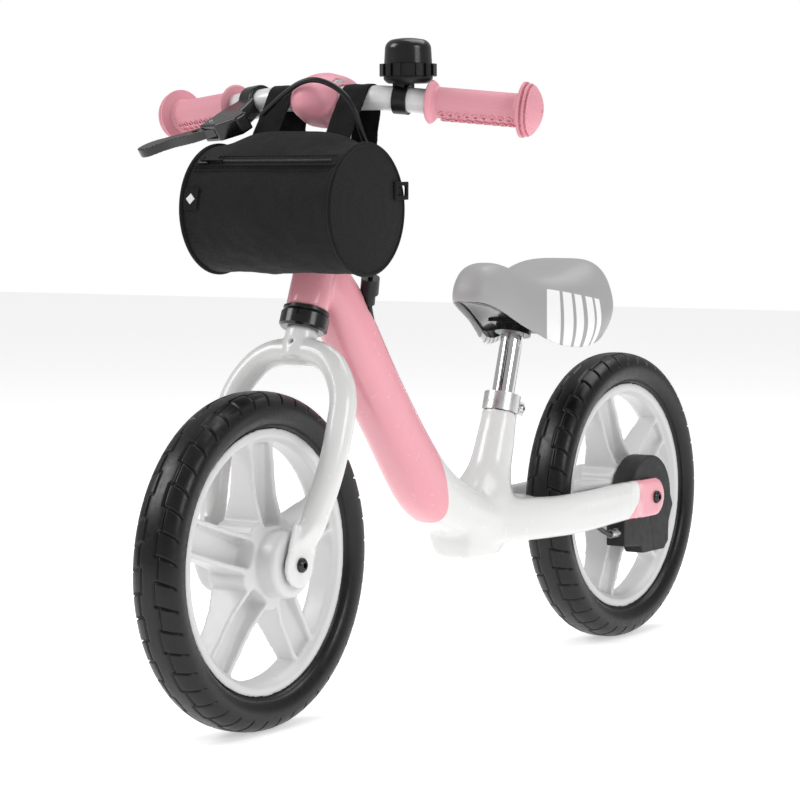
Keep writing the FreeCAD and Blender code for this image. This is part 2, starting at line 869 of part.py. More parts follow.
def build_lever():
    """Bracket clamped to the right-hand side of the bar, with its pivoting lever."""
    place = lever_place()
    bar_radius = number("bar_radius")
    ring = Part.makeCylinder(bar_radius + 4.0, 17, Vector(9, 0, 0), Vector(1, 0, 0))
    block = [
        Vector(8, 8, 0), Vector(28, 8, 0), Vector(36, 30, 0), Vector(38, 56, 0),
        Vector(12, 60, 0), Vector(-12, 52, 0), Vector(-14, 40, 0), Vector(0, 34, 0),
    ]
    face = Part.Face(Part.makePolygon(block + [block[0]]))
    housing = face.extrude(Vector(0, 0, 17))
    housing.translate(Vector(0, 0, -8.5))
    housing = housing.makeFillet(1.6, housing.Edges)
    bracket = ring.fuse(housing)
    bracket = bracket.cut(Part.makeCylinder(bar_radius, 60, Vector(-15, 0, 0), Vector(1, 0, 0)))
    slot = Part.makeBox(40, 34, 9.4, Vector(14, 34, -4.7))
    bracket = bracket.cut(slot)
    pivot = Vector(PIVOT[0], PIVOT[1], -20)
    bracket = bracket.cut(Part.makeCylinder(2.05, 40, pivot, Vector(0, 0, 1)))
    screw_hole = Part.makeCylinder(2.55, 14, Vector(17, -bar_radius - 12, 0), Vector(0, 1, 0))
    lug = Part.makeCylinder(5.5, 4, Vector(17, -bar_radius - 6.5, 0), Vector(0, 1, 0))
    bracket = bracket.fuse(lug)
    bracket = bracket.cut(Part.makeCylinder(bar_radius, 60, Vector(-15, 0, 0), Vector(1, 0, 0)))
    bracket = bracket.cut(screw_hole)
    solid = one_solid(bracket.removeSplitter())
    shaped("lever_bracket", solid, place)
    pin = Part.makeCylinder(2.0, 19, Vector(PIVOT[0], PIVOT[1], -9.5), Vector(0, 0, 1))
    shaped("lever_pivot", pin, place)
    head_spot = place.multVec(Vector(17, -bar_radius - 6.5, 0))
    head_way = place.Rotation.multVec(Vector(0, -1, 0))
    build_bolt("bracket_bolt", head_spot, head_way, 4.6, 3.4, 2.5, 6.0, 4.0)
    blade = [
        Vector(18, 42, 0), Vector(32, 44, 0), Vector(60, 53, 0), Vector(92, 59, 0),
        Vector(112, 66, 0), Vector(116, 73, 0), Vector(108, 78, 0), Vector(84, 70, 0),
        Vector(52, 64, 0), Vector(32, 58, 0), Vector(18, 57, 0),
    ]
    curve = Part.BSplineCurve()
    curve.interpolate(blade[1:-1])
    sides = [
        curve.toShape(),
        Part.LineSegment(blade[-2], blade[-1]).toShape(),
        Part.LineSegment(blade[-1], blade[0]).toShape(),
        Part.LineSegment(blade[0], blade[1]).toShape(),
    ]
    lever = Part.Face(Part.Wire(sides)).extrude(Vector(0, 0, 8.8))
    lever.translate(Vector(0, 0, -4.4))
    lever = lever.cut(Part.makeCylinder(2.06, 40, pivot, Vector(0, 0, 1)))
    lever = lever.cut(Part.makeBox(9, 4, 20, Vector(42, 54, -10)))
    shaped("brake_lever", one_solid(lever), place)


# ---------------------------------------------------------------- handlebar bag

def bag_point(angle, radius, x=0.0):
    """A point around the bag, measured from its top towards the front."""
    turn = math.radians(angle)
    return Vector(x, number("bag_y") - radius * math.sin(turn), number("bag_z") + radius * math.cos(turn))


def touch_point(point, centre, radius, side):
    """Where a straight line from the point touches a circle in the YZ plane."""
    away = point - centre
    distance = away.Length
    turn = math.atan2(away.z, away.y) + side * math.acos(radius / distance)
    return centre + Vector(0, math.cos(turn), math.sin(turn)) * radius


def loop_face(centre, radius, front, back):
    """The area inside a band that hangs over a circle, down to a front and a back point."""
    front_touch = touch_point(front, centre, radius, -1)
    back_touch = touch_point(back, centre, radius, 1)
    top = centre + Vector(0, 0, radius)
    edges = [
        Part.LineSegment(front, front_touch).toShape(),
        Part.Arc(front_touch, top, back_touch).toShape(),
        Part.LineSegment(back_touch, back).toShape(),
        Part.LineSegment(back, front).toShape(),
    ]
    return Part.Face(Part.Wire(edges))


def build_bag():
    """Cylindrical fabric bag under the bar, with its piping, straps, zip and label."""
    radius = number("bag_radius")
    half = number("bag_half_length")
    axis_start = Vector(-half, number("bag_y"), number("bag_z"))
    drum = Part.makeCylinder(radius, 2 * half, axis_start, Vector(1, 0, 0))
    relief = in_steering(cylinder(number("bag_relief"), Vector(0, 0, 150), Vector(0, 0, 500)))
    drum = drum.cut(relief)
    pipings = []
    for side, word in ((1, "left"), (-1, "right")):
        centre = Vector(side * (half - 1.2), number("bag_y"), number("bag_z"))
        cord = Part.makeTorus(radius, number("piping_radius"), centre, Vector(1, 0, 0))
        drum = drum.cut(cord)
        pipings.append((f"bag_piping_{word}", cord))
    angle = number("zip_angle")
    zip_face = bag_point(angle, radius)
    zip_way = bag_point(angle, radius + 1) - zip_face
    zip_rotation = Rotation(Vector(1, 0, 0), Vector(0, 0, 0), zip_way, "ZXY")
    zip_place = Placement(zip_face, zip_rotation)
    tape = Part.makeBox(154, 12, 2.4, Vector(-77, -6, -2.0))
    tape.Placement = zip_place
    drum = drum.cut(tape)
    shaped("bag_body", one_solid(drum))
    for label, cord in pipings:
        shaped(label, cord)
    shaped("bag_zip", tape)
    slider = Part.makeBox(11, 9, 2.6, Vector(-72, -4.5, 0.7))
    slider = slider.makeFillet(0.9, slider.Edges)
    stud = Part.makeBox(4, 3, 2.4, Vector(-69, -1.5, 3.0))
    slider = slider.fuse(stud)
    slider = slider.cut(Part.makeCylinder(0.55, 10, Vector(-67, -5, 4.5), Vector(0, 1, 0)))
    shaped("zip_slider", one_solid(slider.removeSplitter()), zip_place)
    pull = Part.makeBox(23.5, 6.4, 1.3, Vector(-67.9, -3.2, 3.85))
    pull = pull.cut(Part.makeBox(5.2, 3.8, 10, Vector(-69.4, -1.9, -1)))
    pin = Part.makeCylinder(0.5, 6.4, Vector(-67, -3.2, 4.5), Vector(0, 1, 0))
    pull = pull.cut(Part.makeBox(4, 3.4, 8, Vector(-49, -1.7, 0))).fuse(pin)
    shaped("zip_pull", sorted(pull.Solids, key=lambda s: s.Volume)[-1], zip_place)
    angle = number("badge_angle")
    spot = bag_point(angle, radius)
    way = bag_point(angle, radius + 1) - spot
    badge = Part.makeCylinder(radius + 1.2, 15, Vector(-7.5, 0, -radius), Vector(1, 0, 0))
    badge = badge.cut(Part.makeCylinder(radius + 0.02, 15, Vector(-7.5, 0, -radius), Vector(1, 0, 0)))
    badge = badge.common(Part.makeBox(15, 20, 12, Vector(-7.5, -10, -6)))
    badge_place = Placement(spot + Vector(-69.5, 0, 0), Rotation(Vector(1, 0, 0), Vector(0, 0, 0), way, "ZXY"))
    shaped("bag_badge", one_solid(badge), badge_place)
    centre = Vector(0, number("bar_back"), number("bar_height"))
    bar = number("bar_radius")
    thick = number("strap_thick")
    front = bag_point(-8, radius - 4)
    back = bag_point(-62, radius - 4)
    inner_x = number("strap_inner_x")
    wide = number("strap_outer_x") - inner_x
    step = Vector(0, thick, 0)
    for side, word in ((1, "left"), (-1, "right")):
        outer = loop_face(centre, bar + thick, front - step, back + step)
        inner = loop_face(centre, bar + 0.02, front, back)
        band = outer.cut(inner).extrude(Vector(wide, 0, 0))
        band.translate(Vector(inner_x if side > 0 else -inner_x - wide, 0, 0))
        band = band.cut(Part.makeCylinder(radius, 2 * half, axis_start, Vector(1, 0, 0)))
        band = band.cut(bar_shape(bar))
        shaped(f"bag_strap_{word}", sorted(band.Solids, key=lambda s: s.Volume)[-1])
    loop = Part.makeBox(3.0, 22, 16, Vector(half + 0.3, 0, 0))
    hole = Part.makeBox(10, 15, 9, Vector(half - 2, 3.5, 3.5))
    loop = loop.cut(hole)
    loop.translate(Vector(0, number("bag_y") + 39, number("bag_z") + 8))
    loop = loop.cut(pipings[0][1])
    shaped("bag_loop", one_solid(loop))


# ---------------------------------------------------------------- frame

GROMMET_MOUTH = Vector(25, -171, 395)
GROMMET_END = Vector(17, -163, 371)


def rear_cable_route():
    """The brake cable's hidden route through the frame and out to the rear brake."""
    return [
        GROMMET_MOUTH,
        GROMMET_END,
        Vector(12, -137, 319),
        Vector(10, -104, 270),
        Vector(10, -68, 222),
        Vector(14, -24, 185),
        Vector(24, 28, 163),
        Vector(38, 84, 153),
        Vector(46, 140, 147),
        Vector(46, 192, 137),
        Vector(40, 232, 121),
        Vector(38, 246.3, 117.5),
    ]


def build_frame():
    """Cast frame: head tube, down tube, lower body, seat tube, stays, rear tips and foot."""
    head = in_steering(cylinder(
        number("head_tube_radius"),
        Vector(0, 0, number("head_tube_low")),
        Vector(0, 0, number("head_tube_high")),
    ))
    down = ovals_along([
        (0, -212, 400, 16, 20),
        (0, -171, 346, 23, 26),
        (0, -108, 262, 24, 26),
        (0, -74, 221, 25, 27),
        (0, -42, 189, 27, 28),
        (0, 0, 166, 30, 26),
        (0, 50, 151, 33, 24),
        (0, 96, 149, 37, 22),
        (0, 128, 148, 40, 20),
    ])
    stay = ovals_along([
        (14, 30, 150, 14, 22),
        (30, 80, 149, 14, 21.5),
        (42, 124, 148, 12, 21),
        (47, 160, 148, 9.5, 20.5),
        (number("stay_x"), 205, 149, 9, 20),
        (number("stay_x"), 262, 151, 9, 19.5),
    ], 3.2)
    drop_near = number("dropout_x")
    drop_far = drop_near + number("dropout_thick")
    tip_sections = []
    for y, low_x, high_x, low_z, high_z in (
        (255, 40.5, 56.0, 133, 169),
        (272, drop_near, 56.0, 132, 171),
        (291, drop_near, drop_far, 131, 171),
    ):
        corners = [
            Vector(low_x, y, low_z), Vector(high_x, y, low_z),
            Vector(high_x, y, high_z), Vector(low_x, y, high_z),
        ]
        tip_sections.append(Part.makePolygon(corners + [corners[0]]))
    tip = Part.makeLoft(tip_sections, True, True)
    rear_plate = Part.makeBox(drop_far - drop_near, HALF_BASE - 289, 40, Vector(drop_near, 289, 130))
    rear_disc = Part.makeCylinder(
        number("dropout_radius"), drop_far - drop_near,
        Vector(drop_near, REAR_AXLE.y, REAR_AXLE.z), Vector(1, 0, 0),
    )
    left = stay.fuse([tip, rear_plate, rear_disc])
    seat_axis = SEAT.Rotation.multVec(Vector(0, 0, 1))
    seat_rings = []
    for along, forward, radius in (
        (number("seat_tube_top"), 0, number("seat_tube_radius")),
        (-45, 0, 18.6),
        (-70, 1, 20.5),
        (-90, 4, 25),
        (-106, 8, 33),
        (-122, 12, 35),
    ):
        centre = SEAT.multVec(Vector(0, -forward, along))
        seat_rings.append(oval(centre, seat_axis, min(radius, 31), radius, 2.0))
    seat = Part.makeLoft(seat_rings, True, False)
    lug_width = number("lug_half_width")
    lug_sections = []
    for z, grow in ((number("lug_bottom"), 0), (number("lug_bottom") + 12, 7), (150, 12)):
        corners = [
            Vector(-lug_width - grow / 2, number("lug_front") - grow, z),
            Vector(lug_width + grow / 2, number("lug_front") - grow, z),
            Vector(lug_width + grow / 2, number("lug_back") + grow, z),
            Vector(-lug_width - grow / 2, number("lug_back") + grow, z),
        ]
        lug_sections.append(Part.makePolygon(corners + [corners[0]]))
    lug = Part.makeLoft(lug_sections, True, True)
    frame = down.fuse([head, left, mirrored(left), seat, lug])
    tyre_room = Part.makeCylinder(
        number("tyre_radius") + 12, 2 * (number("tyre_half_width") + 6),
        Vector(-number("tyre_half_width") - 6, REAR_AXLE.y, REAR_AXLE.z), Vector(1, 0, 0),
    )
    frame = frame.cut(tyre_room)
    head_bore = in_steering(cylinder(
        number("head_tube_bore"),
        Vector(0, 0, number("head_tube_low") - 5),
        Vector(0, 0, number("head_tube_high") + 5),
    ))
    frame = frame.cut(head_bore)
    above = SEAT.multVec(Vector(0, 0, number("seat_tube_top") + 1))
    below = SEAT.multVec(Vector(0, 0, -112))
    frame = frame.cut(cylinder(number("post_radius") + number("post_fit"), below, above))
    for side in (1, -1):
        far = Vector(side * 70, REAR_AXLE.y, REAR_AXLE.z)
        near = Vector(side * 30, REAR_AXLE.y, REAR_AXLE.z)
        frame = frame.cut(cylinder(3.05, near, far))
    frame = frame.cut(tube(rear_cable_route(), number("cable_bore")))
    grommet_way = GROMMET_MOUTH - GROMMET_END
    seat_for_grommet = cylinder(6.0, GROMMET_END - grommet_way * 0.2, GROMMET_MOUTH + grommet_way)
    frame = frame.cut(seat_for_grommet)
    return shaped("main_frame", one_solid(frame))


def build_frame_fittings(frame):
    """Grommet, cables, seat clamp and its bolt."""
    way = (GROMMET_MOUTH - GROMMET_END).normalize()
    plug = cylinder(5.95, GROMMET_END, GROMMET_MOUTH)
    plug = plug.fuse(cylinder(8.5, GROMMET_MOUTH - way * 16, GROMMET_MOUTH))
    plug = plug.cut(frame.Shape)
    radius = number("cable_radius")
    cable = tube(rear_cable_route(), radius, name="rear_cable")
    plug = plug.cut(cable)
    shaped("cable_grommet", sorted(plug.Solids, key=lambda s: s.Volume)[-1])
    shaped("brake_cable_rear", cable)
    front = [
        Vector(-42, -243, 543),
        Vector(-15, -246, 563),
        Vector(13, -246, 575),
        Vector(39, -242, 566),
        Vector(55, -239, 548),
        Vector(59, -235, 526),
        Vector(59.5, -222, 508),
        Vector(59.5, -203, 491),
        Vector(57, -192, 466),
        Vector(48, -186, 441),
        GROMMET_MOUTH + way * 24,
        GROMMET_MOUTH,
    ]
    shaped("brake_cable_front", tube(front, radius, name="front_cable"))
    top = size("seat_tube_top")
    inside = size("post_radius") + size("post_fit")
    outside = size("clamp_radius")
    collar = spun("seat_clamp", ring_outline(inside, outside, top, top + size("clamp_tall")), SEAT)
    slit = [(-1.2, 8), (1.2, 8), (1.2, 24), (-1.2, 24)]
    pocket(collar, slit, size("clamp_tall") + 2, top + size("clamp_tall") + 1)
    start = SEAT.multVec(Vector(10.5, 21.0, number("seat_tube_top") + 9))
    bolt_way = SEAT.Rotation.multVec(Vector(1, 0, 0))
    build_bolt("seat_clamp_bolt", start, bolt_way, 4.2, 3.6, 2.4, 20.0, 3.6)


def build_seat_lugs():
    """Two ears behind the seat clamp that the bolt pulls together."""
    middle = number("seat_tube_top") + 9
    ears = Part.makeBox(21, 12, 13, Vector(-10.5, 14.5, middle - 6.5))
    ears = ears.cut(Part.makeBox(2.4, 30, 30, Vector(-1.2, 5, middle - 15)))
    ears = ears.cut(Part.makeCylinder(number("clamp_radius"), 40, Vector(0, 0, middle - 20)))
    ears = ears.cut(Part.makeCylinder(2.4, 60, Vector(-30, 21.0, middle), Vector(1, 0, 0)))
    for solid, word in zip(sorted(ears.Solids, key=lambda s: -s.CenterOfMass.x), ("left", "right")):
        shaped(f"seat_clamp_ear_{word}", solid, SEAT)


# ---------------------------------------------------------------- saddle

# y, half width, underside and top of the saddle, from its nose to its tail
SADDLE_ROWS = [
    (27, 8, 368, 380), (36, 18, 362, 391), (55, 26, 356, 400), (80, 32.5, 343, 400),
    (105, 41, 331, 393), (130, 53, 320, 390), (160, 65, 315, 393), (190, 68, 318, 400),
    (222, 57, 327, 402), (243, 33, 338, 396), (251, 14, 350, 384),
]


def saddle_loft(rows):
    """Loft of ovals along Y from (y, half width, bottom, top) rows."""
    wires = []
    for y, half_width, low, high in rows:
        centre = Vector(0, y, (low + high) / 2)
        wires.append(oval(centre, Vector(0, 1, 0), half_width, (high - low) / 2, 2.4))
    return Part.makeLoft(wires, True, False)


def build_saddle():
    """Post, clamp, hollow plastic pan and the padded cover."""
    post_bottom = SEAT.multVec(Vector(0, 0, -75))
    post_top = SEAT.multVec(Vector(0, 0, 72))
    post = cylinder(number("post_radius"), post_bottom, post_top)
    hollow = cylinder(number("post_radius") - 1.5, post_bottom - Vector(0, 0, 1), post_top - Vector(0, 0, 6))
    shaped("seatpost", one_solid(post.cut(hollow)))
    clamp = Part.makeCylinder(18, 12, Vector(0, 0, 60))
    clamp = clamp.fuse(Part.makeBox(34, 46, 5, Vector(-17, -22, 67)))
    clamp = clamp.cut(Part.makeCylinder(number("post_radius"), 40, Vector(0, 0, 50)))
    clamp.Placement = SEAT
    post_block = cylinder(number("post_radius"), post_bottom, post_top)
    solid = saddle_loft(SADDLE_ROWS)
    hollow_rows = [
        (34, 10, 350, 365), (55, 20, 338, 361), (80, 27, 326, 352), (105, 35, 314, 344),
        (130, 46, 304, 341), (160, 57, 298, 340), (190, 60, 300, 342), (220, 49, 310, 348),
        (240, 22, 332, 355),
    ]
    hollow = saddle_loft(hollow_rows)
    wall = number("pan_wall")
    lined = saddle_loft([
        (y, half_width + wall, low, high + wall) for y, half_width, low, high in hollow_rows
    ])
    pan = lined.cut(hollow).common(solid).cut(clamp).cut(post_block)
    cover = solid.cut(lined).cut(hollow).cut(clamp).cut(post_block)
    cover = sorted(cover.Solids, key=lambda s: s.Volume)[-1]
    shaped("saddle_clamp", one_solid(clamp))
    shaped("saddle_pan", sorted(pan.Solids, key=lambda s: s.Volume)[-1])
    shaped("saddle_cover", cover)


# ---------------------------------------------------------------- rear brake

def build_brake():
    """Drum on the wheel, friction band, two-part housing, arm and cable adjuster."""
    drum_radius = size("drum_radius")
    drum_in = size("drum_in")
    drum_out = size("drum_out")
    spun("brake_drum", [
        (size("axle_radius") + 3, drum_in - 0.4),
        (drum_radius, drum_in - 0.4),
        (drum_radius, drum_out),
        (drum_radius - 4, drum_out),
        (drum_radius - 4, drum_in + 4),
        (size("axle_radius") + 3, drum_in + 4),
    ], lying(0, REAR_AXLE.y, REAR_AXLE.z))
    band_low = drum_radius + size("band_gap")
    spun("brake_band", ring_outline(
        band_low, band_low + size("band_thick"), drum_in + 1, drum_out - 1,
    ), lying(0, REAR_AXLE.y, REAR_AXLE.z))
    radius = number("brake_radius")
    wall = number("brake_wall")
    x_in = number("brake_in")
    x_out = number("brake_out")
    centre = Vector(x_in, REAR_AXLE.y, REAR_AXLE.z)
    disc = Part.makeCylinder(radius, x_out - x_in, centre, Vector(1, 0, 0))
    block = Part.Face(Part.makePolygon([
        Vector(x_in + 2, 264, 130), Vector(x_in + 2, 264, 103), Vector(x_in + 2, 298, 100),
        Vector(x_in + 2, 304, 92), Vector(x_in + 2, 350, 92), Vector(x_in + 2, 359, 100),
        Vector(x_in + 2, 360, 120), Vector(x_in + 2, 369, 138), Vector(x_in + 2, 362, 152),
        Vector(x_in + 2, 320, 150), Vector(x_in + 2, 264, 130),
    ])).extrude(Vector(x_out - x_in - 2, 0, 0))
    housing = disc.fuse(block)
    room = Part.makeCylinder(radius - wall, x_out - x_in - wall, centre, Vector(1, 0, 0))
    housing = housing.cut(room)
    arm_room = Part.makeBox(x_out - x_in - 2 * wall - 3, 26, 27, Vector(x_in + 4.5, 270, 105.5))
    housing = housing.cut(arm_room)
    axle_hole = Part.makeCylinder(number("axle_radius"), 60, Vector(0, REAR_AXLE.y, REAR_AXLE.z), Vector(1, 0, 0))
    housing = housing.cut(axle_hole)
    cable_hole = Part.makeCylinder(3.0, 20, Vector(38, 255, 116.5), Vector(0, 1, 0))
    housing = housing.cut(cable_hole)
    seam = Part.makeBox(2.0, 1.4, 60, Vector(x_out - 1.2, 0, -30))
    seam.rotate(Vector(0, 0, 0), Vector(1, 0, 0), 12)
    seam.translate(Vector(0, 322, 104))
    housing = housing.cut(seam)
    shaped("brake_housing", sorted(housing.Solids, key=lambda s: s.Volume)[-1])
    arm = Part.makeBox(4, 7, 18, Vector(33, 279.5, 109))
    arm = arm.fuse(Part.makeCylinder(5, 4, Vector(33, 283, 112), Vector(1, 0, 0)))
    arm = arm.fuse(Part.makeCylinder(4, 4, Vector(33, 283, 126), Vector(1, 0, 0)))
    arm = arm.cut(Part.makeCylinder(2.05, 10, Vector(30, 283, 112), Vector(1, 0, 0)))
    shaped("brake_arm", one_solid(arm.removeSplitter()))
    pin_long = x_out - x_in - 2 * wall - 3
    pin = Part.makeCylinder(2.0, pin_long, Vector(x_in + 4.5, 283, 112), Vector(1, 0, 0))
    shaped("brake_arm_pin", pin)
    barrel = [(2.6, 0), (4.6, 0), (4.6, 9), (3.4, 10), (3.4, 12), (4.8, 12), (4.8, 18), (2.6, 18)]
    place = facing(Vector(38, 246, 117.5), Vector(0, 1, 0))
    body = spun("cable_adjuster", barrel, place)
    flute = [(4.0, -0.7), (6, -0.9), (6, 0.9), (4.0, 0.7)]
    pocket(body, flute, 9.2, 9.1, copies=10)


# ---------------------------------------------------------------- build, check and export

def check_everything():
    """Stop when any object failed or any sub-part is not one valid solid."""
    DOC.recompute()
    for item in DOC.Objects:
        if "Invalid" in item.State or "Error" in item.State:
            sys.exit(f"{item.Label} failed: {item.State}")
    for node in NODES:
        shape = node.Shape
        if shape.isNull() or not shape.isValid() or len(shape.Solids) != 1:
            sys.exit(f"{node.Label}: bad shape, {len(shape.Solids)} solids, valid {shape.isValid()}")


def main():
    build_wheels()
    build_fork()
    build_headset()
    stem = build_stem()
    build_bar(stem)
    build_bell()
    build_lever()
    build_bag()
    frame = build_frame()
    build_frame_fittings(frame)
    build_seat_lugs()
    build_saddle()
    build_brake()
    check_everything()
    os.makedirs("parts", exist_ok=True)
    for node in NODES:
        node.Shape.exportStep(os.path.join("parts", node.Label + ".step"))
    print(len(NODES), "sub-parts")


main()
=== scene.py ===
# %% [markdown]
# A child's balance bike, dressed for a studio picture.
# The engineering model is loaded first and stays where it is. Every later cell either gives one of
# its pieces a finish or puts a finer mesh in place of a plain one.

# %% Load the engineering model
import json
import math

import bpy
import bmesh
import numpy as np
from mathutils import Matrix, Vector, noise


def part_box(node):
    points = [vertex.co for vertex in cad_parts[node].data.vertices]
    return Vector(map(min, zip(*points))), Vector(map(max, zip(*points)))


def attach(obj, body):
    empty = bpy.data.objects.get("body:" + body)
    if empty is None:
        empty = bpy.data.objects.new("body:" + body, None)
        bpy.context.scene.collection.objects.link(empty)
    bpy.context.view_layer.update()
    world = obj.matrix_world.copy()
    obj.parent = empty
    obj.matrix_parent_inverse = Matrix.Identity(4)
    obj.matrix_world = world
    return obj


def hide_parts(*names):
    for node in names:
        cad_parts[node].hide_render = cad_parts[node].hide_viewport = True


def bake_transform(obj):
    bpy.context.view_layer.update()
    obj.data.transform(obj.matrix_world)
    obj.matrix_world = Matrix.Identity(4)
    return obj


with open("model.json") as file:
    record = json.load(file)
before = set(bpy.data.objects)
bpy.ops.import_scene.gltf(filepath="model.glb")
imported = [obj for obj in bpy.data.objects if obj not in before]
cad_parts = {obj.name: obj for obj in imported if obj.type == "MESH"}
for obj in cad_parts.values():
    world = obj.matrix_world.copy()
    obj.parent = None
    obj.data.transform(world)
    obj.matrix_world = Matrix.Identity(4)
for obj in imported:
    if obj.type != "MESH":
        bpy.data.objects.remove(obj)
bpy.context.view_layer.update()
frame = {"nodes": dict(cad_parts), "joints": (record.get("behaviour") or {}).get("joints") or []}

scene = bpy.context.scene
nodes = frame["nodes"]
joints = {joint["name"]: joint for joint in frame["joints"]}

# %% [markdown]
# The camera comes early, because it shows at once whether a piece sits right. A long lens far away
# keeps the two wheels nearly the same size, as a catalogue picture does. The turn is counted from the
# front of the bike towards the rider's left.

# %% Camera
CAMERA_TURN = math.radians(33.59)
CAMERA_RISE = math.radians(4.38)
CAMERA_ROLL = math.radians(-0.27)
CAMERA_DISTANCE = 2.882
CAMERA_LENS = 134.4
CAMERA_TARGET = Vector((-0.0396, -0.0263, 0.2712))


def add_camera():
    """A camera on a sphere round the target, looking at it."""
    away = Vector((
        math.sin(CAMERA_TURN) * math.cos(CAMERA_RISE),
        -math.cos(CAMERA_TURN) * math.cos(CAMERA_RISE),
        math.sin(CAMERA_RISE),
    ))
    data = bpy.data.cameras.new("studio_camera")
    data.lens = CAMERA_LENS
    data.sensor_width = 36.0
    camera = bpy.data.objects.new("studio_camera", data)
    turn = (-away).to_track_quat("-Z", "Y").to_matrix().to_4x4()
    roll = Matrix.Rotation(CAMERA_ROLL, 4, "Z")
    camera.matrix_world = Matrix.Translation(CAMERA_TARGET + away * CAMERA_DISTANCE) @ turn @ roll
    scene.collection.objects.link(camera)
    return camera


scene.camera = add_camera()
print("camera at", [round(value, 3) for value in scene.camera.location])

# %% [markdown]
# The studio is a pale sweep under big soft lamps. Large lamps give long soft highlights along the
# tubes, and a bright room fills the shadows, so only a faint shadow is left under each wheel.

# %% Floor and lamps
FLOOR_SIZE = 14.0


def add_floor(material):
    """A flat pale floor."""
    half = FLOOR_SIZE / 2
    mesh = bpy.data.meshes.new("studio_floor")
    corners = [(-half, -half, 0), (half, -half, 0), (half, half, 0), (-half, half, 0)]
    mesh.from_pydata(corners, [], [(0, 1, 2, 3)])
    floor = bpy.data.objects.new("studio_floor", mesh)
    floor.data.materials.append(material)
    scene.collection.objects.link(floor)
    return floor


def add_lamp(name, place, target, size, power):
    """A square soft lamp aimed at a point."""
    data = bpy.data.lights.new(name, "AREA")
    data.shape = "SQUARE"
    data.size = size
    data.energy = power
    lamp = bpy.data.objects.new(name, data)
    lamp.location = place
    aim = Vector(target) - Vector(place)
    lamp.rotation_euler = aim.to_track_quat("-Z", "Y").to_euler()
    scene.collection.objects.link(lamp)
    return lamp


add_lamp("key_lamp", (-1.9, -1.6, 2.1), (0, 0, 0.3), 1.3, 34.0)
add_lamp("side_lamp", (2.6, -0.6, 1.5), (0, 0, 0.3), 1.1, 20.0)
add_lamp("top_lamp", (0.3, 0.9, 2.6), (0, 0.1, 0.2), 2.0, 34.0)

WALL_LIGHT = 0.42
WALL_SEEN = 1.0


def build_room():
    """Walls that look white to the camera but light the bike only softly."""
    world = bpy.data.worlds.new("studio_room")
    world.use_nodes = True
    tree = world.node_tree
    walls = tree.nodes["Background"]
    walls.inputs["Strength"].default_value = WALL_LIGHT
    walls.inputs["Color"].default_value = (1.0, 1.0, 1.0, 1.0)
    backdrop = tree.nodes.new("ShaderNodeBackground")
    backdrop.inputs["Color"].default_value = (1.0, 1.0, 1.0, 1.0)
    backdrop.inputs["Strength"].default_value = WALL_SEEN
    path = tree.nodes.new("ShaderNodeLightPath")
    choose = tree.nodes.new("ShaderNodeMixShader")
    tree.links.new(path.outputs["Is Camera Ray"], choose.inputs["Fac"])
    tree.links.new(walls.outputs["Background"], choose.inputs[1])
    tree.links.new(backdrop.outputs["Background"], choose.inputs[2])
    tree.links.new(choose.outputs["Shader"], tree.nodes["World Output"].inputs["Surface"])
    return world


scene.world = build_room()
scene.view_settings.view_transform = "Standard"

# %% [markdown]
# Several finishes share the same small faults of real surfaces: paint that isn't equally glossy
# everywhere, a fine grain from the mould, and the over-and-under of woven thread. Each of these is
# made once as a node group with named sockets, and every material then sets its own amounts.

# %% Helpers for node groups
def new_group(name, inputs, outputs):
    """An empty shader group with float or vector inputs and outputs."""
    group = bpy.data.node_groups.new(name, "ShaderNodeTree")
    for label, kind, value in inputs:
        socket = group.interface.new_socket(label, in_out="INPUT", socket_type=kind)
        if value is not None:
            socket.default_value = value
    for label, kind in outputs:
        group.interface.new_socket(label, in_out="OUTPUT", socket_type=kind)
    start = group.nodes.new("NodeGroupInput")
    end = group.nodes.new("NodeGroupOutput")
    return group, start, end


def add_node(tree, kind, **settings):
    """A node with some of its settings filled in."""
    node = tree.nodes.new(kind)
    for setting, value in settings.items():
        setattr(node, setting, value)
    return node


def math_node(tree, operation, first, second=None, third=None):
    """A maths node whose inputs are sockets or plain numbers; returns its output."""
    node = add_node(tree, "ShaderNodeMath", operation=operation)
    for slot, value in enumerate((first, second, third)):
        if value is None:
            continue
        if isinstance(value, (int, float)):
            node.inputs[slot].default_value = value
        else:
            tree.links.new(value, node.inputs[slot])
    return node.outputs[0]


def ramp_between(tree, value, low, high, out_low=0.0, out_high=1.0):
    """Map a value from one range to another, held at both ends."""
    node = add_node(tree, "ShaderNodeMapRange")
    tree.links.new(value, node.inputs["Value"])
    node.inputs["From Min"].default_value = low
    node.inputs["From Max"].default_value = high
    node.inputs["To Min"].default_value = out_low
    node.inputs["To Max"].default_value = out_high
    return node.outputs["Result"]


# %% Group: uneven finish
def build_uneven_finish():
    """Large soft patches that shift colour and gloss a little."""
    group, start, end = new_group(
        "uneven_finish",
        [("Scale", "NodeSocketFloat", 9.0)],
        [("Patches", "NodeSocketFloat"), ("Specks", "NodeSocketFloat")],
    )
    place = add_node(group, "ShaderNodeTexCoord")
    patches = add_node(group, "ShaderNodeTexNoise")
    patches.inputs["Detail"].default_value = 3.0
    group.links.new(place.outputs["Object"], patches.inputs["Vector"])
    group.links.new(start.outputs["Scale"], patches.inputs["Scale"])
    fine = math_node(group, "MULTIPLY", start.outputs["Scale"], 14.0)
    specks = add_node(group, "ShaderNodeTexNoise")
    specks.inputs["Detail"].default_value = 4.0
    group.links.new(place.outputs["Object"], specks.inputs["Vector"])
    group.links.new(fine, specks.inputs["Scale"])
    group.links.new(patches.outputs["Fac"], end.inputs["Patches"])
    group.links.new(specks.outputs["Fac"], end.inputs["Specks"])
    return group


uneven_finish = build_uneven_finish()
print("group:", uneven_finish.name)

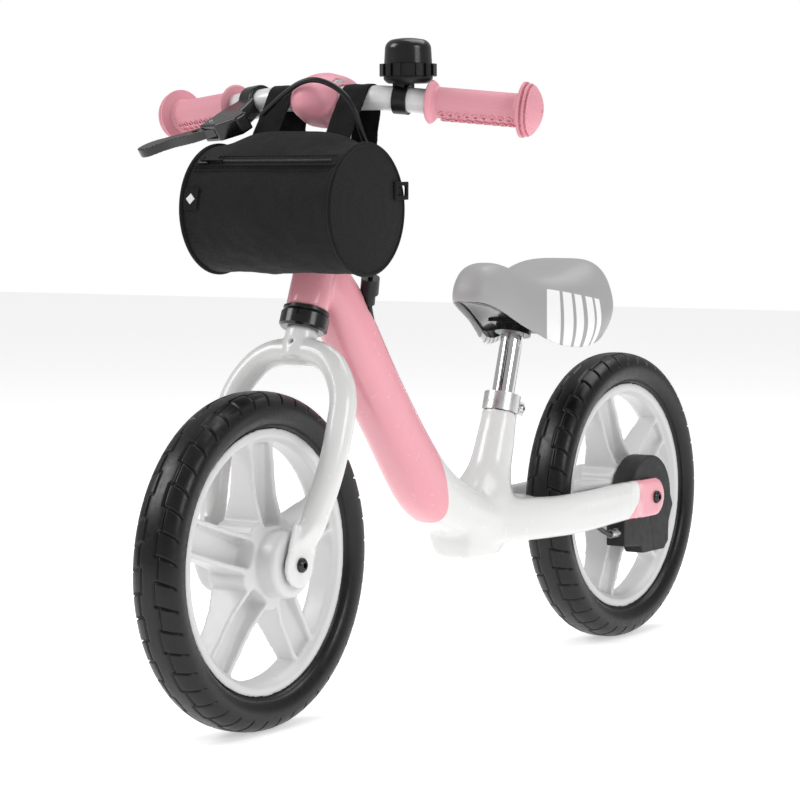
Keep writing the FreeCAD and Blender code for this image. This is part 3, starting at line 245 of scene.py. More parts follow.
# %% Group: mould grain
def build_mould_grain():
    """Fine pebbled height, as plastic and leather take it from a mould."""
    group, start, end = new_group(
        "mould_grain",
        [("Scale", "NodeSocketFloat", 900.0), ("Softness", "NodeSocketFloat", 0.5)],
        [("Height", "NodeSocketFloat")],
    )
    place = add_node(group, "ShaderNodeTexCoord")
    cells = add_node(group, "ShaderNodeTexVoronoi", feature="SMOOTH_F1")
    group.links.new(place.outputs["Object"], cells.inputs["Vector"])
    group.links.new(start.outputs["Scale"], cells.inputs["Scale"])
    group.links.new(start.outputs["Softness"], cells.inputs["Smoothness"])
    dust = add_node(group, "ShaderNodeTexNoise")
    dust.inputs["Detail"].default_value = 2.0
    group.links.new(place.outputs["Object"], dust.inputs["Vector"])
    group.links.new(start.outputs["Scale"], dust.inputs["Scale"])
    height = math_node(group, "MULTIPLY_ADD", dust.outputs["Fac"], 0.5, cells.outputs["Distance"])
    group.links.new(height, end.inputs["Height"])
    return group


mould_grain = build_mould_grain()
print("group:", mould_grain.name)

# %% Group: plain weave
def build_plain_weave():
    """Threads that pass over and under each other, on a pair of flat coordinates; Shade is painted shade
    and highlight that follows the raised and sunk threads.
    """
    group, start, end = new_group(
        "plain_weave",
        [("Across", "NodeSocketFloat", 0.0), ("Along", "NodeSocketFloat", 0.0),
         ("Threads", "NodeSocketFloat", 900.0)],
        [("Height", "NodeSocketFloat"), ("Shade", "NodeSocketFloat")],
    )
    turn = math_node(group, "MULTIPLY", start.outputs["Threads"], math.pi)
    across = math_node(group, "SINE", math_node(group, "MULTIPLY", start.outputs["Across"], turn))
    along = math_node(group, "SINE", math_node(group, "MULTIPLY", start.outputs["Along"], turn))
    over = math_node(group, "MULTIPLY", across, along)
    over_height = math_node(group, "ABSOLUTE", across)
    under_height = math_node(group, "ABSOLUTE", along)
    thread = math_node(group, "MAXIMUM", over_height, under_height)
    height = math_node(group, "MULTIPLY_ADD", over, 0.35, thread)
    group.links.new(height, end.inputs["Height"])
    # Shade is painted light: high where the raised thread lies on top, low where the thread is sunk.
    group.links.new(ramp_between(group, over, -1.0, 1.0), end.inputs["Shade"])
    return group


plain_weave = build_plain_weave()
print("group:", plain_weave.name)

# %% [markdown]
# A material is a Principled shader with a colour that drifts slightly, a roughness that drifts with
# it, and a bump. One helper wires that up, so each finish below is only its own few numbers.

# %% Helper for a finish
GRAIN_TALL = 0.0003
THREAD_TALL = 0.0004


def place_group(tree, group, **values):
    """Put a shared group into a material and set its inputs."""
    node = add_node(tree, "ShaderNodeGroup", node_tree=group)
    for label, value in values.items():
        node.inputs[label].default_value = value
    return node


def mix_colours(tree, factor, first, second):
    """Blend two colours, each a socket or a plain colour."""
    node = add_node(tree, "ShaderNodeMix", data_type="RGBA")
    tree.links.new(factor, node.inputs["Factor"])
    for label, colour in (("A", first), ("B", second)):
        socket = [item for item in node.inputs if item.name == label and item.type == "RGBA"][0]
        if isinstance(colour, tuple):
            socket.default_value = (*colour, 1.0)
        else:
            tree.links.new(colour, socket)
    return [item for item in node.outputs if item.type == "RGBA"][0]


def press_bump(tree, height, strength, distance):
    """Turn a height into the surface's bump."""
    bump = add_node(tree, "ShaderNodeBump")
    bump.inputs["Strength"].default_value = strength
    bump.inputs["Distance"].default_value = distance
    tree.links.new(height, bump.inputs["Height"])
    tree.links.new(bump.outputs["Normal"], tree.nodes["Principled BSDF"].inputs["Normal"])


def object_axes(tree):
    """The X, Y and Z of a point in the bike, as sockets."""
    place = add_node(tree, "ShaderNodeTexCoord")
    split = add_node(tree, "ShaderNodeSeparateXYZ")
    tree.links.new(place.outputs["Object"], split.inputs["Vector"])
    return split.outputs


def darker(colour, amount):
    """The colour, scaled."""
    return tuple(channel * amount for channel in colour)


def finish(name, colour, rough, drift=0.06, patch=9.0, tint=0.93, metal=0.0, coat=0.0,
           grain=0.0, grain_scale=900.0, softness=0.5, shine=0.5):
    """A material with drifting colour and gloss and a moulded grain."""
    material = bpy.data.materials.new(name)
    material.use_nodes = True
    tree = material.node_tree
    shader = tree.nodes["Principled BSDF"]
    shader.inputs["Metallic"].default_value = metal
    shader.inputs["Coat Weight"].default_value = coat
    shader.inputs["Coat Roughness"].default_value = 0.08
    shader.inputs["Specular IOR Level"].default_value = shine
    uneven = place_group(tree, uneven_finish, Scale=patch)
    shade = mix_colours(tree, uneven.outputs["Patches"], darker(colour, tint), colour)
    tree.links.new(shade, shader.inputs["Base Color"])
    gloss = ramp_between(tree, uneven.outputs["Specks"], 0.3, 0.7, rough - drift, rough + drift)
    tree.links.new(gloss, shader.inputs["Roughness"])
    if grain:
        pebbles = place_group(tree, mould_grain, Scale=grain_scale, Softness=softness)
        press_bump(tree, pebbles.outputs["Height"], grain, GRAIN_TALL)
    return material


# %% Plain finishes
PINK = (0.82, 0.345, 0.405)
GRIP_PINK = (0.74, 0.315, 0.375)
WHITE = (0.74, 0.74, 0.735)
BLACK = (0.0055, 0.0055, 0.006)

floor_paper = finish("floor_paper", (0.93, 0.93, 0.93), 0.7, patch=0.6, tint=0.985)
floor_paper.node_tree.nodes["Principled BSDF"].inputs["Emission Color"].default_value = (1, 1, 1, 1)
floor_paper.node_tree.nodes["Principled BSDF"].inputs["Emission Strength"].default_value = 0.5
white_enamel = finish("white_enamel", WHITE, 0.24, 0.04, tint=0.97, coat=0.35)
white_plastic = finish("white_plastic", (0.68, 0.68, 0.68), 0.34, 0.05, tint=0.96, grain=0.08)
pink_plastic = finish("pink_plastic", (0.80, 0.33, 0.40), 0.46, 0.05, grain=0.10, grain_scale=1400)
pink_rubber = finish("pink_rubber", GRIP_PINK, 0.55, 0.05, grain=0.18, grain_scale=1200)
black_plastic = finish("black_plastic", BLACK, 0.38, 0.07, grain=0.35, grain_scale=1500, shine=0.35)
black_gloss = finish("black_gloss", BLACK, 0.22, 0.05, coat=0.2, grain=0.05, shine=0.4)
black_rubber = finish("black_rubber", BLACK, 0.34, 0.06, grain=0.2, grain_scale=1100, shine=0.35)
brake_plastic = finish("brake_plastic", (0.016, 0.016, 0.017), 0.52, 0.06, grain=0.5,
                       grain_scale=1300, shine=0.35)
tyre_foam = finish("tyre_foam", (0.004, 0.004, 0.0045), 0.33, 0.07, patch=14, grain=0.10,
                   grain_scale=600, shine=0.36)
dark_steel = finish("dark_steel", (0.05, 0.05, 0.052), 0.28, 0.08, metal=0.9, grain=0.05)
bright_steel = finish("bright_steel", (0.62, 0.62, 0.63), 0.26, 0.08, metal=1.0, grain=0.05)
satin_alloy = finish("satin_alloy", (0.80, 0.80, 0.80), 0.30, 0.07, metal=1.0, grain=0.12, grain_scale=2200)
chrome = finish("chrome", (0.82, 0.82, 0.83), 0.07, 0.02, metal=1.0)
add_floor(floor_paper)
print("materials:", len(bpy.data.materials))

# %% [markdown]
# The cast frame is sprayed in two colours with a masked edge. The pink runs down the tube and ends
# in a rounded tongue, and comes back on the two rear tips. The edge is worked out in the material
# from each point's place in the bike, so it follows the tube however the mesh is made.

# %% Two-colour frame paint
TONGUE_CENTRE = (-0.2630, 0.1530)
TONGUE_RADIUS = 0.2215
TONGUE_FLOOR = (-0.0970, 0.1660)
FLOOR_SLOPE = Vector((0.045, -0.019)).normalized()
TIP_LOW = (0.2530, 0.1320)
TIP_MIDDLE = (0.2830, 0.1530)
TIP_LOW_SLOPE = Vector((0.029, 0.021)).normalized()
TIP_HIGH_SLOPE = Vector((-0.007, 0.017)).normalized()
PINK_ENDS_AT = 0.040
PINK_FLOOR = 0.247
EDGE_HALF = 0.0003


def beyond_line(tree, y, z, corner, slope):
    """Signed distance of a point to the left of a line, in the bike's side view."""
    across = math_node(tree, "MULTIPLY", math_node(tree, "SUBTRACT", z, corner[1]), slope.x)
    down = math_node(tree, "MULTIPLY", math_node(tree, "SUBTRACT", y, corner[0]), slope.y)
    return math_node(tree, "SUBTRACT", across, down)


def tongue_mask(tree, y, z):
    """One where the front half of the frame is pink."""
    ahead = math_node(tree, "SUBTRACT", y, TONGUE_CENTRE[0])
    above = math_node(tree, "SUBTRACT", z, TONGUE_CENTRE[1])
    square = math_node(tree, "MULTIPLY_ADD", above, above, math_node(tree, "MULTIPLY", ahead, ahead))
    outside = math_node(tree, "SUBTRACT", math_node(tree, "SQRT", square), TONGUE_RADIUS)
    below = math_node(tree, "MULTIPLY", beyond_line(tree, y, z, TONGUE_FLOOR, FLOOR_SLOPE), -1.0)
    rim = math_node(tree, "SMOOTH_MAX", outside, below, 0.016)
    high = math_node(tree, "SUBTRACT", PINK_FLOOR, z)
    edge = math_node(tree, "SMOOTH_MIN", rim, high, 0.010)
    return ramp_between(tree, edge, -EDGE_HALF, EDGE_HALF, 1.0, 0.0)


def build_frame_paint():
    """White enamel with a pink tongue in front and pink tips behind."""
    material = finish("frame_paint", WHITE, 0.24, 0.04, tint=0.97, coat=0.35)
    tree = material.node_tree
    shader = tree.nodes["Principled BSDF"]
    white = shader.inputs["Base Color"].links[0].from_socket
    uneven = place_group(tree, uneven_finish, Scale=9.0)
    pink = mix_colours(tree, uneven.outputs["Patches"], darker(PINK, 0.93), PINK)
    axes = object_axes(tree)
    y = axes["Y"]
    z = axes["Z"]
    front = tongue_mask(tree, y, z)
    forward = ramp_between(tree, y, PINK_ENDS_AT, PINK_ENDS_AT + 0.001, 1.0, 0.0)
    front = math_node(tree, "MULTIPLY", front, forward)
    low = beyond_line(tree, y, z, TIP_LOW, TIP_LOW_SLOPE)
    high = beyond_line(tree, y, z, TIP_MIDDLE, TIP_HIGH_SLOPE)
    behind = math_node(tree, "SMOOTH_MIN", low, high, 0.012)
    tips = ramp_between(tree, behind, -EDGE_HALF, EDGE_HALF, 1.0, 0.0)
    back_only = ramp_between(tree, y, 0.200, 0.201)
    tips = math_node(tree, "MULTIPLY", tips, back_only)
    mask = math_node(tree, "MAXIMUM", front, tips)
    tree.links.new(mix_colours(tree, mask, white, pink), shader.inputs["Base Color"])
    return material


frame_paint = build_frame_paint()
print("paint edge: tongue radius", TONGUE_RADIUS)

# %% [markdown]
# Some engineering pieces already have the right shape and only need a finish.

# %% Finishes for the carried-over pieces
CARRIED_OVER = {
    "headset_upper_cup": dark_steel, "headset_lower_cup": dark_steel,
    "limiter_collar": black_gloss, "stem": white_enamel, "handlebar": white_enamel,
    "grip_left": pink_rubber, "grip_right": pink_rubber,
    "lever_pivot": bright_steel, "bracket_bolt": bright_steel,
    "bell_clamp": black_plastic, "bell_base": black_plastic,
    "bell_ring": black_gloss, "bell_dome": black_gloss, "front_axle": bright_steel,
    "rear_axle": bright_steel, "front_bolt_left": dark_steel, "front_bolt_right": dark_steel,
    "rear_bolt_left": dark_steel, "rear_bolt_right": dark_steel,
    "brake_band": bright_steel, "brake_drum": bright_steel, "brake_arm": bright_steel,
    "brake_arm_pin": bright_steel, "cable_adjuster": bright_steel, "cable_grommet": black_rubber,
    "brake_cable_rear": black_rubber, "seat_clamp": satin_alloy, "seat_clamp_ear_left": satin_alloy,
    "seat_clamp_ear_right": satin_alloy, "seat_clamp_bolt": bright_steel, "seatpost": chrome,
    "saddle_clamp": dark_steel,
    "front_bearing_left": bright_steel, "front_bearing_right": bright_steel,
    "rear_bearing_left": bright_steel, "rear_bearing_right": bright_steel,
}


def repaint(node, material):
    """Give a carried-over piece its finish."""
    piece = nodes[node]
    piece.data.materials.clear()
    piece.data.materials.append(material)


for node, material in CARRIED_OVER.items():
    repaint(node, material)
print("carried over:", len(CARRIED_OVER))

# %% [markdown]
# Moulded and cast pieces have no knife edges: every corner is rounded where the mould or the casting
# needs it. A copy of the plain solid is melted into an even skin of small squares, and the skin is
# relaxed. Where two parts of a casting flow into each other it is relaxed much more.

# %% Helper: a softened copy
def wrapped_quads(rows, around):
    """Faces of a grid whose rows are closed rings of points."""
    faces = []
    for i in range(rows):
        for j in range(around):
            after = (j + 1) % around
            a = i * around + j
            b = i * around + after
            faces.append((a, b, b + around, a + around))
    return faces


def evaluated_mesh(piece, name):
    """The piece's mesh with its modifiers applied."""
    graph = bpy.context.evaluated_depsgraph_get()
    mesh = bpy.data.meshes.new_from_object(piece.evaluated_get(graph))
    mesh.name = name
    return mesh


def shade_smooth(mesh):
    """Smooth shading on every face."""
    mesh.polygons.foreach_set("use_smooth", [True] * len(mesh.polygons))
    mesh.update()


def softened(name, node, voxel, passes, body, material, region=None, region_passes=0, ripple=0.0):
    """A remeshed, relaxed copy that stands for the node; region gives extra relaxing, 0 to 1."""
    piece = bpy.data.objects.new(name, nodes[node].data.copy())
    scene.collection.objects.link(piece)
    remesh = piece.modifiers.new("skin", "REMESH")
    remesh.mode = "VOXEL"
    remesh.voxel_size = voxel
    relax = piece.modifiers.new("relax", "SMOOTH")
    relax.factor = 0.5
    relax.iterations = passes
    mesh = evaluated_mesh(piece, name)
    piece.modifiers.clear()
    piece.data = mesh
    if region is not None:
        weights = piece.vertex_groups.new(name="flowing")
        for vertex in mesh.vertices:
            amount = region(vertex.co)
            if amount > 0:
                weights.add([vertex.index], amount, "REPLACE")
        melt = piece.modifiers.new("melt", "SMOOTH")
        melt.factor = 0.5
        melt.iterations = region_passes
        melt.vertex_group = "flowing"
        mesh = evaluated_mesh(piece, name)
        piece.modifiers.clear()
        piece.data = mesh
    if ripple:
        for vertex in mesh.vertices:
            vertex.co += vertex.normal * ripple * noise.noise(vertex.co * 90)
    mesh.materials.clear()
    mesh.materials.append(material)
    shade_smooth(mesh)
    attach(piece, body)
    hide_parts(node)
    print(name, len(mesh.polygons), "faces")
    return piece


# %% Cast frame
def fade(value, low, high, soft):
    """One between low and high, falling to zero over a soft margin."""
    rising = min(max((value - low + soft) / soft, 0.0), 1.0)
    falling = min(max((high + soft - value) / soft, 0.0), 1.0)
    return min(rising, falling)


def flowing_joint(point):
    """Where the down tube, seat tube and lower body flow together."""
    along = fade(point.y, -0.020, 0.128, 0.030)
    height = fade(point.z, 0.120, 0.200, 0.020)
    return along * height


softened("frame_casting", "main_frame", 0.0022, 5, "frame", frame_paint, flowing_joint, 40)

# %% [markdown]
# The fork's legs are one bent tube, pressed flat at the tips. The press leaves a short soft slope
# between the round tube and the flat tip.

# %% Fork
def pressed_tip(point):
    """The stretch where the round leg turns into its flat tip."""
    return fade(point.z, 0.160, 0.195, 0.012)


softened("fork_pressing", "fork", 0.0017, 5, "steering", white_enamel, pressed_tip, 16)

# %% [markdown]
# Each rim is one moulding. The softened copy rounds the ribs the way the mould does.

# %% Rims
softened("front_rim_moulding", "front_rim", 0.0016, 3, "front_wheel", white_plastic)
softened("rear_rim_moulding", "rear_rim", 0.0016, 3, "rear_wheel", white_plastic)

# %% [markdown]
# The small black mouldings have rounded corners too: the lever and its bracket, the brake cover and
# the pan under the saddle. The soft pad over the stem is a stuffed cover, so its skin is slightly uneven.

# %% Small mouldings and the stem pad
softened("lever_moulding", "brake_lever", 0.0008, 4, "brake_lever", black_gloss)
softened("bracket_moulding", "lever_bracket", 0.0008, 3, "steering", black_gloss)
softened("brake_cover", "brake_housing", 0.0011, 3, "frame", brake_plastic)
softened("saddle_underside", "saddle_pan", 0.0013, 6, "saddle", black_gloss)
stem_cushion = softened("stem_cushion", "stem_pad", 0.0011, 6, "steering", pink_plastic, ripple=0.0007)

# %% [markdown]
# The foam tyre's tread is a real relief: curved grooves from each shoulder towards the middle, joined
# by a stepped groove along each side of the centre. A closed grid is bent round the wheel and pushed
# in along the grooves, fine enough for a groove to span a few faces.

# %% Tyres
TREAD_BLOCKS = 44
GROOVE_DEPTH = 0.0024
GROOVE_HALF = 0.00095
GROOVE_BOW = 0.42
LINE_NEAR = 0.0066
LINE_FAR = 0.0098
SHOULDER = 0.0285
WHEEL_RADIUS = 0.150
ROUND_STEPS = 1056
PROFILE_STEPS = 96


def tyre_profile(radius, fat, width, rim_radius, rim_half):
    """Half width and radius of each point round the section, from bead to bead."""
    rows = []
    for i in range(PROFILE_STEPS + 1):
        turn = math.pi * (i / PROFILE_STEPS - 0.5)
        side = math.sin(turn)
        x = width * math.copysign(abs(side) ** 0.82, side)
        rows.append((x, fat + (radius - fat) * math.cos(turn) ** 0.80))
    walls = []
    for i in range(1, 9):
        step = i / 8
        x = width + (rim_half - width) * step ** 1.7
        walls.append((x, fat + (rim_radius - fat) * math.sin(step * math.pi / 2)))
    bead = [(rim_half - 0.0012, rim_radius - 0.0022), (rim_half - 0.003, rim_radius - 0.005)]
    right = [(x, r) for x, r in walls + bead]
    left = [(-x, r) for x, r in reversed(walls + bead)]
    return left + rows + right


def groove_depth(turn, across):
    """How far the tread is cut in, for arrays of angles and distances from the centre line."""
    side = np.where(across < 0, 0.5, 0.0)
    reach = np.abs(across)
    phase = turn * TREAD_BLOCKS / (2 * math.pi) + side
    bow = GROOVE_BOW * np.clip((reach - 0.006) / 0.024, 0, 1) ** 1.6
    pitch = 2 * math.pi * WHEEL_RADIUS / TREAD_BLOCKS
    slanted = phase - bow
    gap = np.abs(slanted - np.round(slanted)) * pitch
    cross = np.exp(-((gap / GROOVE_HALF) ** 4))
    cross = cross * (reach > LINE_NEAR) * np.clip((SHOULDER - reach) / 0.002, 0, 1)
    line_block = np.floor(slanted)
    long_gap = np.abs(reach - np.where(line_block % 2 == 0, LINE_NEAR, LINE_FAR))
    along = np.exp(-((long_gap / GROOVE_HALF) ** 4))
    return GROOVE_DEPTH * np.maximum(cross, along)


def build_tyre(name, node, body):
    """A treaded tyre in the place of the plain one."""
    low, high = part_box(node)
    centre = (low + high) / 2
    radius = (high.z - low.z) / 2
    width = (high.x - low.x) / 2
    profile = np.array(tyre_profile(radius, radius - 0.016, width, radius - 0.029, 0.0155))
    steps = np.hypot(np.diff(profile[:, 0]), np.diff(profile[:, 1]))
    travel = np.concatenate(([0.0], np.cumsum(steps)))
    middle = travel[len(travel) // 2]
    across = travel - middle
    turns = np.linspace(0, 2 * math.pi, ROUND_STEPS, endpoint=False)
    angle, spread = np.meshgrid(turns, across, indexing="ij")
    depth = groove_depth(angle, spread)
    tangent = np.gradient(profile, axis=0)
    normal = np.stack([-tangent[:, 1], tangent[:, 0]], axis=1)
    normal /= np.linalg.norm(normal, axis=1)[:, None]
    x = profile[None, :, 0] - depth * normal[None, :, 0]
    ring = profile[None, :, 1] - depth * normal[None, :, 1]
    points = np.stack([
        centre.x + x,
        centre.y + ring * np.cos(angle),
        centre.z + ring * np.sin(angle),
    ], axis=2).reshape(-1, 3)
    count = len(profile)
    faces = []
    for i in range(ROUND_STEPS):
        here = i * count
        after = ((i + 1) % ROUND_STEPS) * count
        for j in range(count - 1):
            faces.append((here + j, here + j + 1, after + j + 1, after + j))
        faces.append((here + count - 1, here, after, after + count - 1))
    mesh = bpy.data.meshes.new(name)
    mesh.from_pydata(points.tolist(), [], faces)
    mesh.materials.append(tyre_foam)
    shade_smooth(mesh)
    tyre = bpy.data.objects.new(name, mesh)
    scene.collection.objects.link(tyre)
    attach(tyre, body)
    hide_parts(node)
    print(name, len(faces), "faces")
    return tyre


build_tyre("front_tyre_tread", "front_tyre", "front_wheel")
build_tyre("rear_tyre_tread", "rear_tyre", "rear_wheel")

# %% [markdown]
# The grips are soft rubber with rows of little raised rings that stop a hand from slipping. The rings
# are small round ridges wrapped on the grip's barrel, all joined in one mesh per grip.

# %% Grip rings
RING_ROWS = 10
RINGS_PER_ROW = 9
RING_RADIUS = 0.0023
RING_THICK = 0.00075
BARREL_RADIUS = 0.0138
GRIP_HALF = 0.0515
FIRST_RING = 0.0165
RING_STEP = 0.0077
BAR_WAY = Vector((0.960, 0.265, -0.092)).normalized()


def grip_axis(node, side):
    """A point on the grip's axis at its inner end, and the direction of the axis."""
    low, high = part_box(node)
    way = Vector((BAR_WAY.x * side, BAR_WAY.y, BAR_WAY.z))
    centre = (low + high) / 2
    return centre - way * GRIP_HALF, way


def ring_mesh(rings, segments=16, sides=6):
    """Points and faces of many small ridges; each ring is (place on grid, wrap function)."""
    points = []
    faces = []
    for wrap in rings:
        first = len(points)
        for i in range(segments):
            turn = 2 * math.pi * i / segments
            for j in range(sides):
                tilt = 2 * math.pi * j / sides
                reach = RING_RADIUS + RING_THICK * math.cos(tilt)
                rise = RING_THICK * 0.9 * math.sin(tilt)
                points.append(wrap(reach * math.cos(turn), reach * math.sin(turn), rise))
        for i in range(segments):
            for j in range(sides):
                a = first + i * sides + j
                b = first + i * sides + (j + 1) % sides
                c = first + ((i + 1) % segments) * sides + (j + 1) % sides
                d = first + ((i + 1) % segments) * sides + j
                faces.append((a, b, c, d))
    return points, faces


def add_piece(name, points, faces, body, material):
    """A smooth mesh piece that rides on a body."""
    mesh = bpy.data.meshes.new(name)
    mesh.from_pydata([tuple(point) for point in points], [], faces)
    mesh.materials.append(material)
    shade_smooth(mesh)
    piece = bpy.data.objects.new(name, mesh)
    scene.collection.objects.link(piece)
    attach(piece, body)
    return piece


def build_grip_rings(node, side):
    """Nine ridges in each of ten rows, wrapped on the barrel."""
    inner, way = grip_axis(node, side)
    up = way.cross(Vector((1, 0, 0))).normalized()
    out = way.cross(up)
    wraps = []
    for row in range(RING_ROWS):
        angle = 2 * math.pi * row / RING_ROWS
        for spot in range(RINGS_PER_ROW):
            start = FIRST_RING + spot * RING_STEP

            def wrap(u, v, w, angle=angle, start=start):
                turn = angle + v / BARREL_RADIUS
                radial = up * math.cos(turn) + out * math.sin(turn)
                return inner + way * (start + u) + radial * (BARREL_RADIUS + w)

            wraps.append(wrap)
    points, faces = ring_mesh(wraps)
    word = "left" if side > 0 else "right"
    piece = add_piece(f"grip_rings_{word}", points, faces, "steering", pink_rubber)
    return piece


build_grip_rings("grip_left", 1)
build_grip_rings("grip_right", -1)
print("grip rings:", 2 * RING_ROWS * RINGS_PER_ROW)

# %% [markdown]
# Woven cloth needs two flat coordinates. The bag's mesh carries them as a UV map in metres, along and
# around the drum, and the weave group turns them into threads.

# %% Cloth finishes
def cloth(name, colour, threads, across, along, rough=0.85, strength=0.5):
    """A woven material; across and along are functions that give two sockets."""
    material = bpy.data.materials.new(name)
    material.use_nodes = True
    tree = material.node_tree
    shader = tree.nodes["Principled BSDF"]
    shader.inputs["Sheen Weight"].default_value = 0.04
    shader.inputs["Sheen Roughness"].default_value = 0.5
    shader.inputs["Specular IOR Level"].default_value = 0.16
    weave = place_group(tree, plain_weave, Threads=threads)
    tree.links.new(across(tree), weave.inputs["Across"])
    tree.links.new(along(tree), weave.inputs["Along"])
    uneven = place_group(tree, uneven_finish, Scale=30.0)
    # painted shade and highlight: the cloth's one colour is darkened on the sunk threads and lightened on
    # the raised ones
    base = mix_colours(tree, weave.outputs["Shade"], darker(colour, 0.55), darker(colour, 1.5))
    drift = mix_colours(tree, uneven.outputs["Patches"], darker(colour, 0.8), base)
    tree.links.new(drift, shader.inputs["Base Color"])
    gloss = ramp_between(tree, uneven.outputs["Specks"], 0.3, 0.7, rough - 0.08, rough + 0.08)
    tree.links.new(gloss, shader.inputs["Roughness"])
    press_bump(tree, weave.outputs["Height"], strength, THREAD_TALL)
    return material


def uv_part(label):
    """A function that adds a UV map node and gives one of its coordinates."""
    def part(tree):
        place = add_node(tree, "ShaderNodeUVMap", uv_map="flat")
        split = add_node(tree, "ShaderNodeSeparateXYZ")
        tree.links.new(place.outputs["UV"], split.inputs["Vector"])
        return split.outputs[label]
    return part


def object_part(label):
    """A function that gives one coordinate of a point in the bike."""
    return lambda tree: object_axes(tree)[label]


bag_cloth = cloth("bag_cloth", (0.013, 0.013, 0.0135), 750.0, uv_part("X"), uv_part("Y"))
webbing = cloth("webbing", (0.010, 0.010, 0.0105), 620.0, object_part("X"), object_part("Z"), 0.9)
piping_cloth = cloth("piping_cloth", (0.006, 0.006, 0.0065), 900.0, object_part("Y"), object_part("Z"), 0.7)


def build_tab_print():
    """A black cloth tab with one plain pale diamond printed on it."""
    material = cloth("tab_print", (0.010, 0.010, 0.0105), 900.0, object_part("X"), object_part("Z"))
    tree = material.node_tree
    shader = tree.nodes["Principled BSDF"]
    black = shader.inputs["Base Color"].links[0].from_socket
    low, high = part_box("bag_badge")
    middle = (low + high) / 2
    wide = math_node(tree, "SUBTRACT", object_part("X")(tree), middle.x)
    tall = math_node(tree, "SUBTRACT", object_part("Z")(tree), middle.z)
    reach = math_node(tree, "ADD", math_node(tree, "ABSOLUTE", wide), math_node(tree, "ABSOLUTE", tall))
    mask = ramp_between(tree, reach, 0.0046, 0.0050, 1.0, 0.0)
    tree.links.new(mix_colours(tree, mask, black, (0.75, 0.75, 0.75)), shader.inputs["Base Color"])
    return material


repaint("bag_badge", build_tab_print())
for node in ("zip_slider", "zip_pull"):
    repaint(node, dark_steel)
for word in ("left", "right"):
    softened(f"strap_{word}", f"bag_strap_{word}", 0.0010, 3, "steering", webbing, ripple=0.0008)
    softened(f"piping_{word}", f"bag_piping_{word}", 0.0009, 2, "steering", piping_cloth)
softened("side_loop", "bag_loop", 0.0007, 3, "steering", webbing, ripple=0.0004)
softened("zip_tape", "bag_zip", 0.0008, 3, "steering", webbing, ripple=0.0003)
print("cloth materials ready")

# %% [markdown]
# The bag is a drum of padded cloth. It starts as a closed skin on the engineering solid: a side sheet
# rolled round the axis and two round ends. Behind, it is pressed in where the steering column passes.
# Soft creases run from the straps, and the ends belly out a little inside their piping.

# %% Bag
BAG_ALONG = 120
BAG_AROUND = 240
END_RINGS = 26


def steering_line():
    """A point on the steering axis and its direction."""
    joint = joints["steering"]
    return Vector(joint["pos_m"]), Vector(joint["axis"]).normalized()


def pressed_in(point, clearance=0.0362):
    """Push a point forward until it clears the steering column."""
    start, way = steering_line()
    away = point - start
    off = away - way * away.dot(way)
    if off.length >= clearance or abs(off.x) >= clearance:
        return point
    forward = Vector((0, -way.z, way.y))
    needed = math.sqrt(clearance * clearance - off.x * off.x)
    return point + forward * (needed - off.dot(forward))


def crease(x, turn):
    """Small folds of the cloth, from noise at two sizes."""
    spot = Vector((x * 26, math.cos(turn) * 2.2, math.sin(turn) * 2.2))
    broad = noise.noise(spot) * 0.0016
    fine = noise.noise(spot * 3.1) * 0.0005
    return broad + fine


LIFT_CENTRE = math.radians(-10)
LIFT_REACH = math.radians(47)
LIFT_HEIGHT = 0.0135
LIFT_HALF = 0.060


def strap_lift(x, turn):
    """How far the straps pull the top of the bag up."""
    signed = math.remainder(turn - LIFT_CENTRE, 2 * math.pi)
    if abs(signed) > LIFT_REACH:
        return 0.0
    round_it = math.cos(signed / LIFT_REACH * math.pi / 2) ** 2
    return LIFT_HEIGHT * round_it * math.exp(-abs(x / LIFT_HALF) ** 5)


def bag_side(low, high, radius, centre):
    """Grid of the rolled side sheet, with its flat coordinates."""
    points = []
    flat = []
    for i in range(BAG_ALONG + 1):
        part = i / BAG_ALONG
        x = low.x + (high.x - low.x) * part
        sag = math.sin(math.pi * part)
        for j in range(BAG_AROUND):
            turn = 2 * math.pi * j / BAG_AROUND
            hang = 0.0010 * sag * (1 - math.cos(turn)) / 2
            swell = (crease(x, turn) - 0.0011) * min(sag * 3, 1.0) + hang
            reach = radius + swell
            point = Vector((x, centre.y - reach * math.sin(turn), centre.z + reach * math.cos(turn)))
            point.z += strap_lift(x, turn)
            points.append(pressed_in(point))
            flat.append((x, turn * radius))
    return points, flat


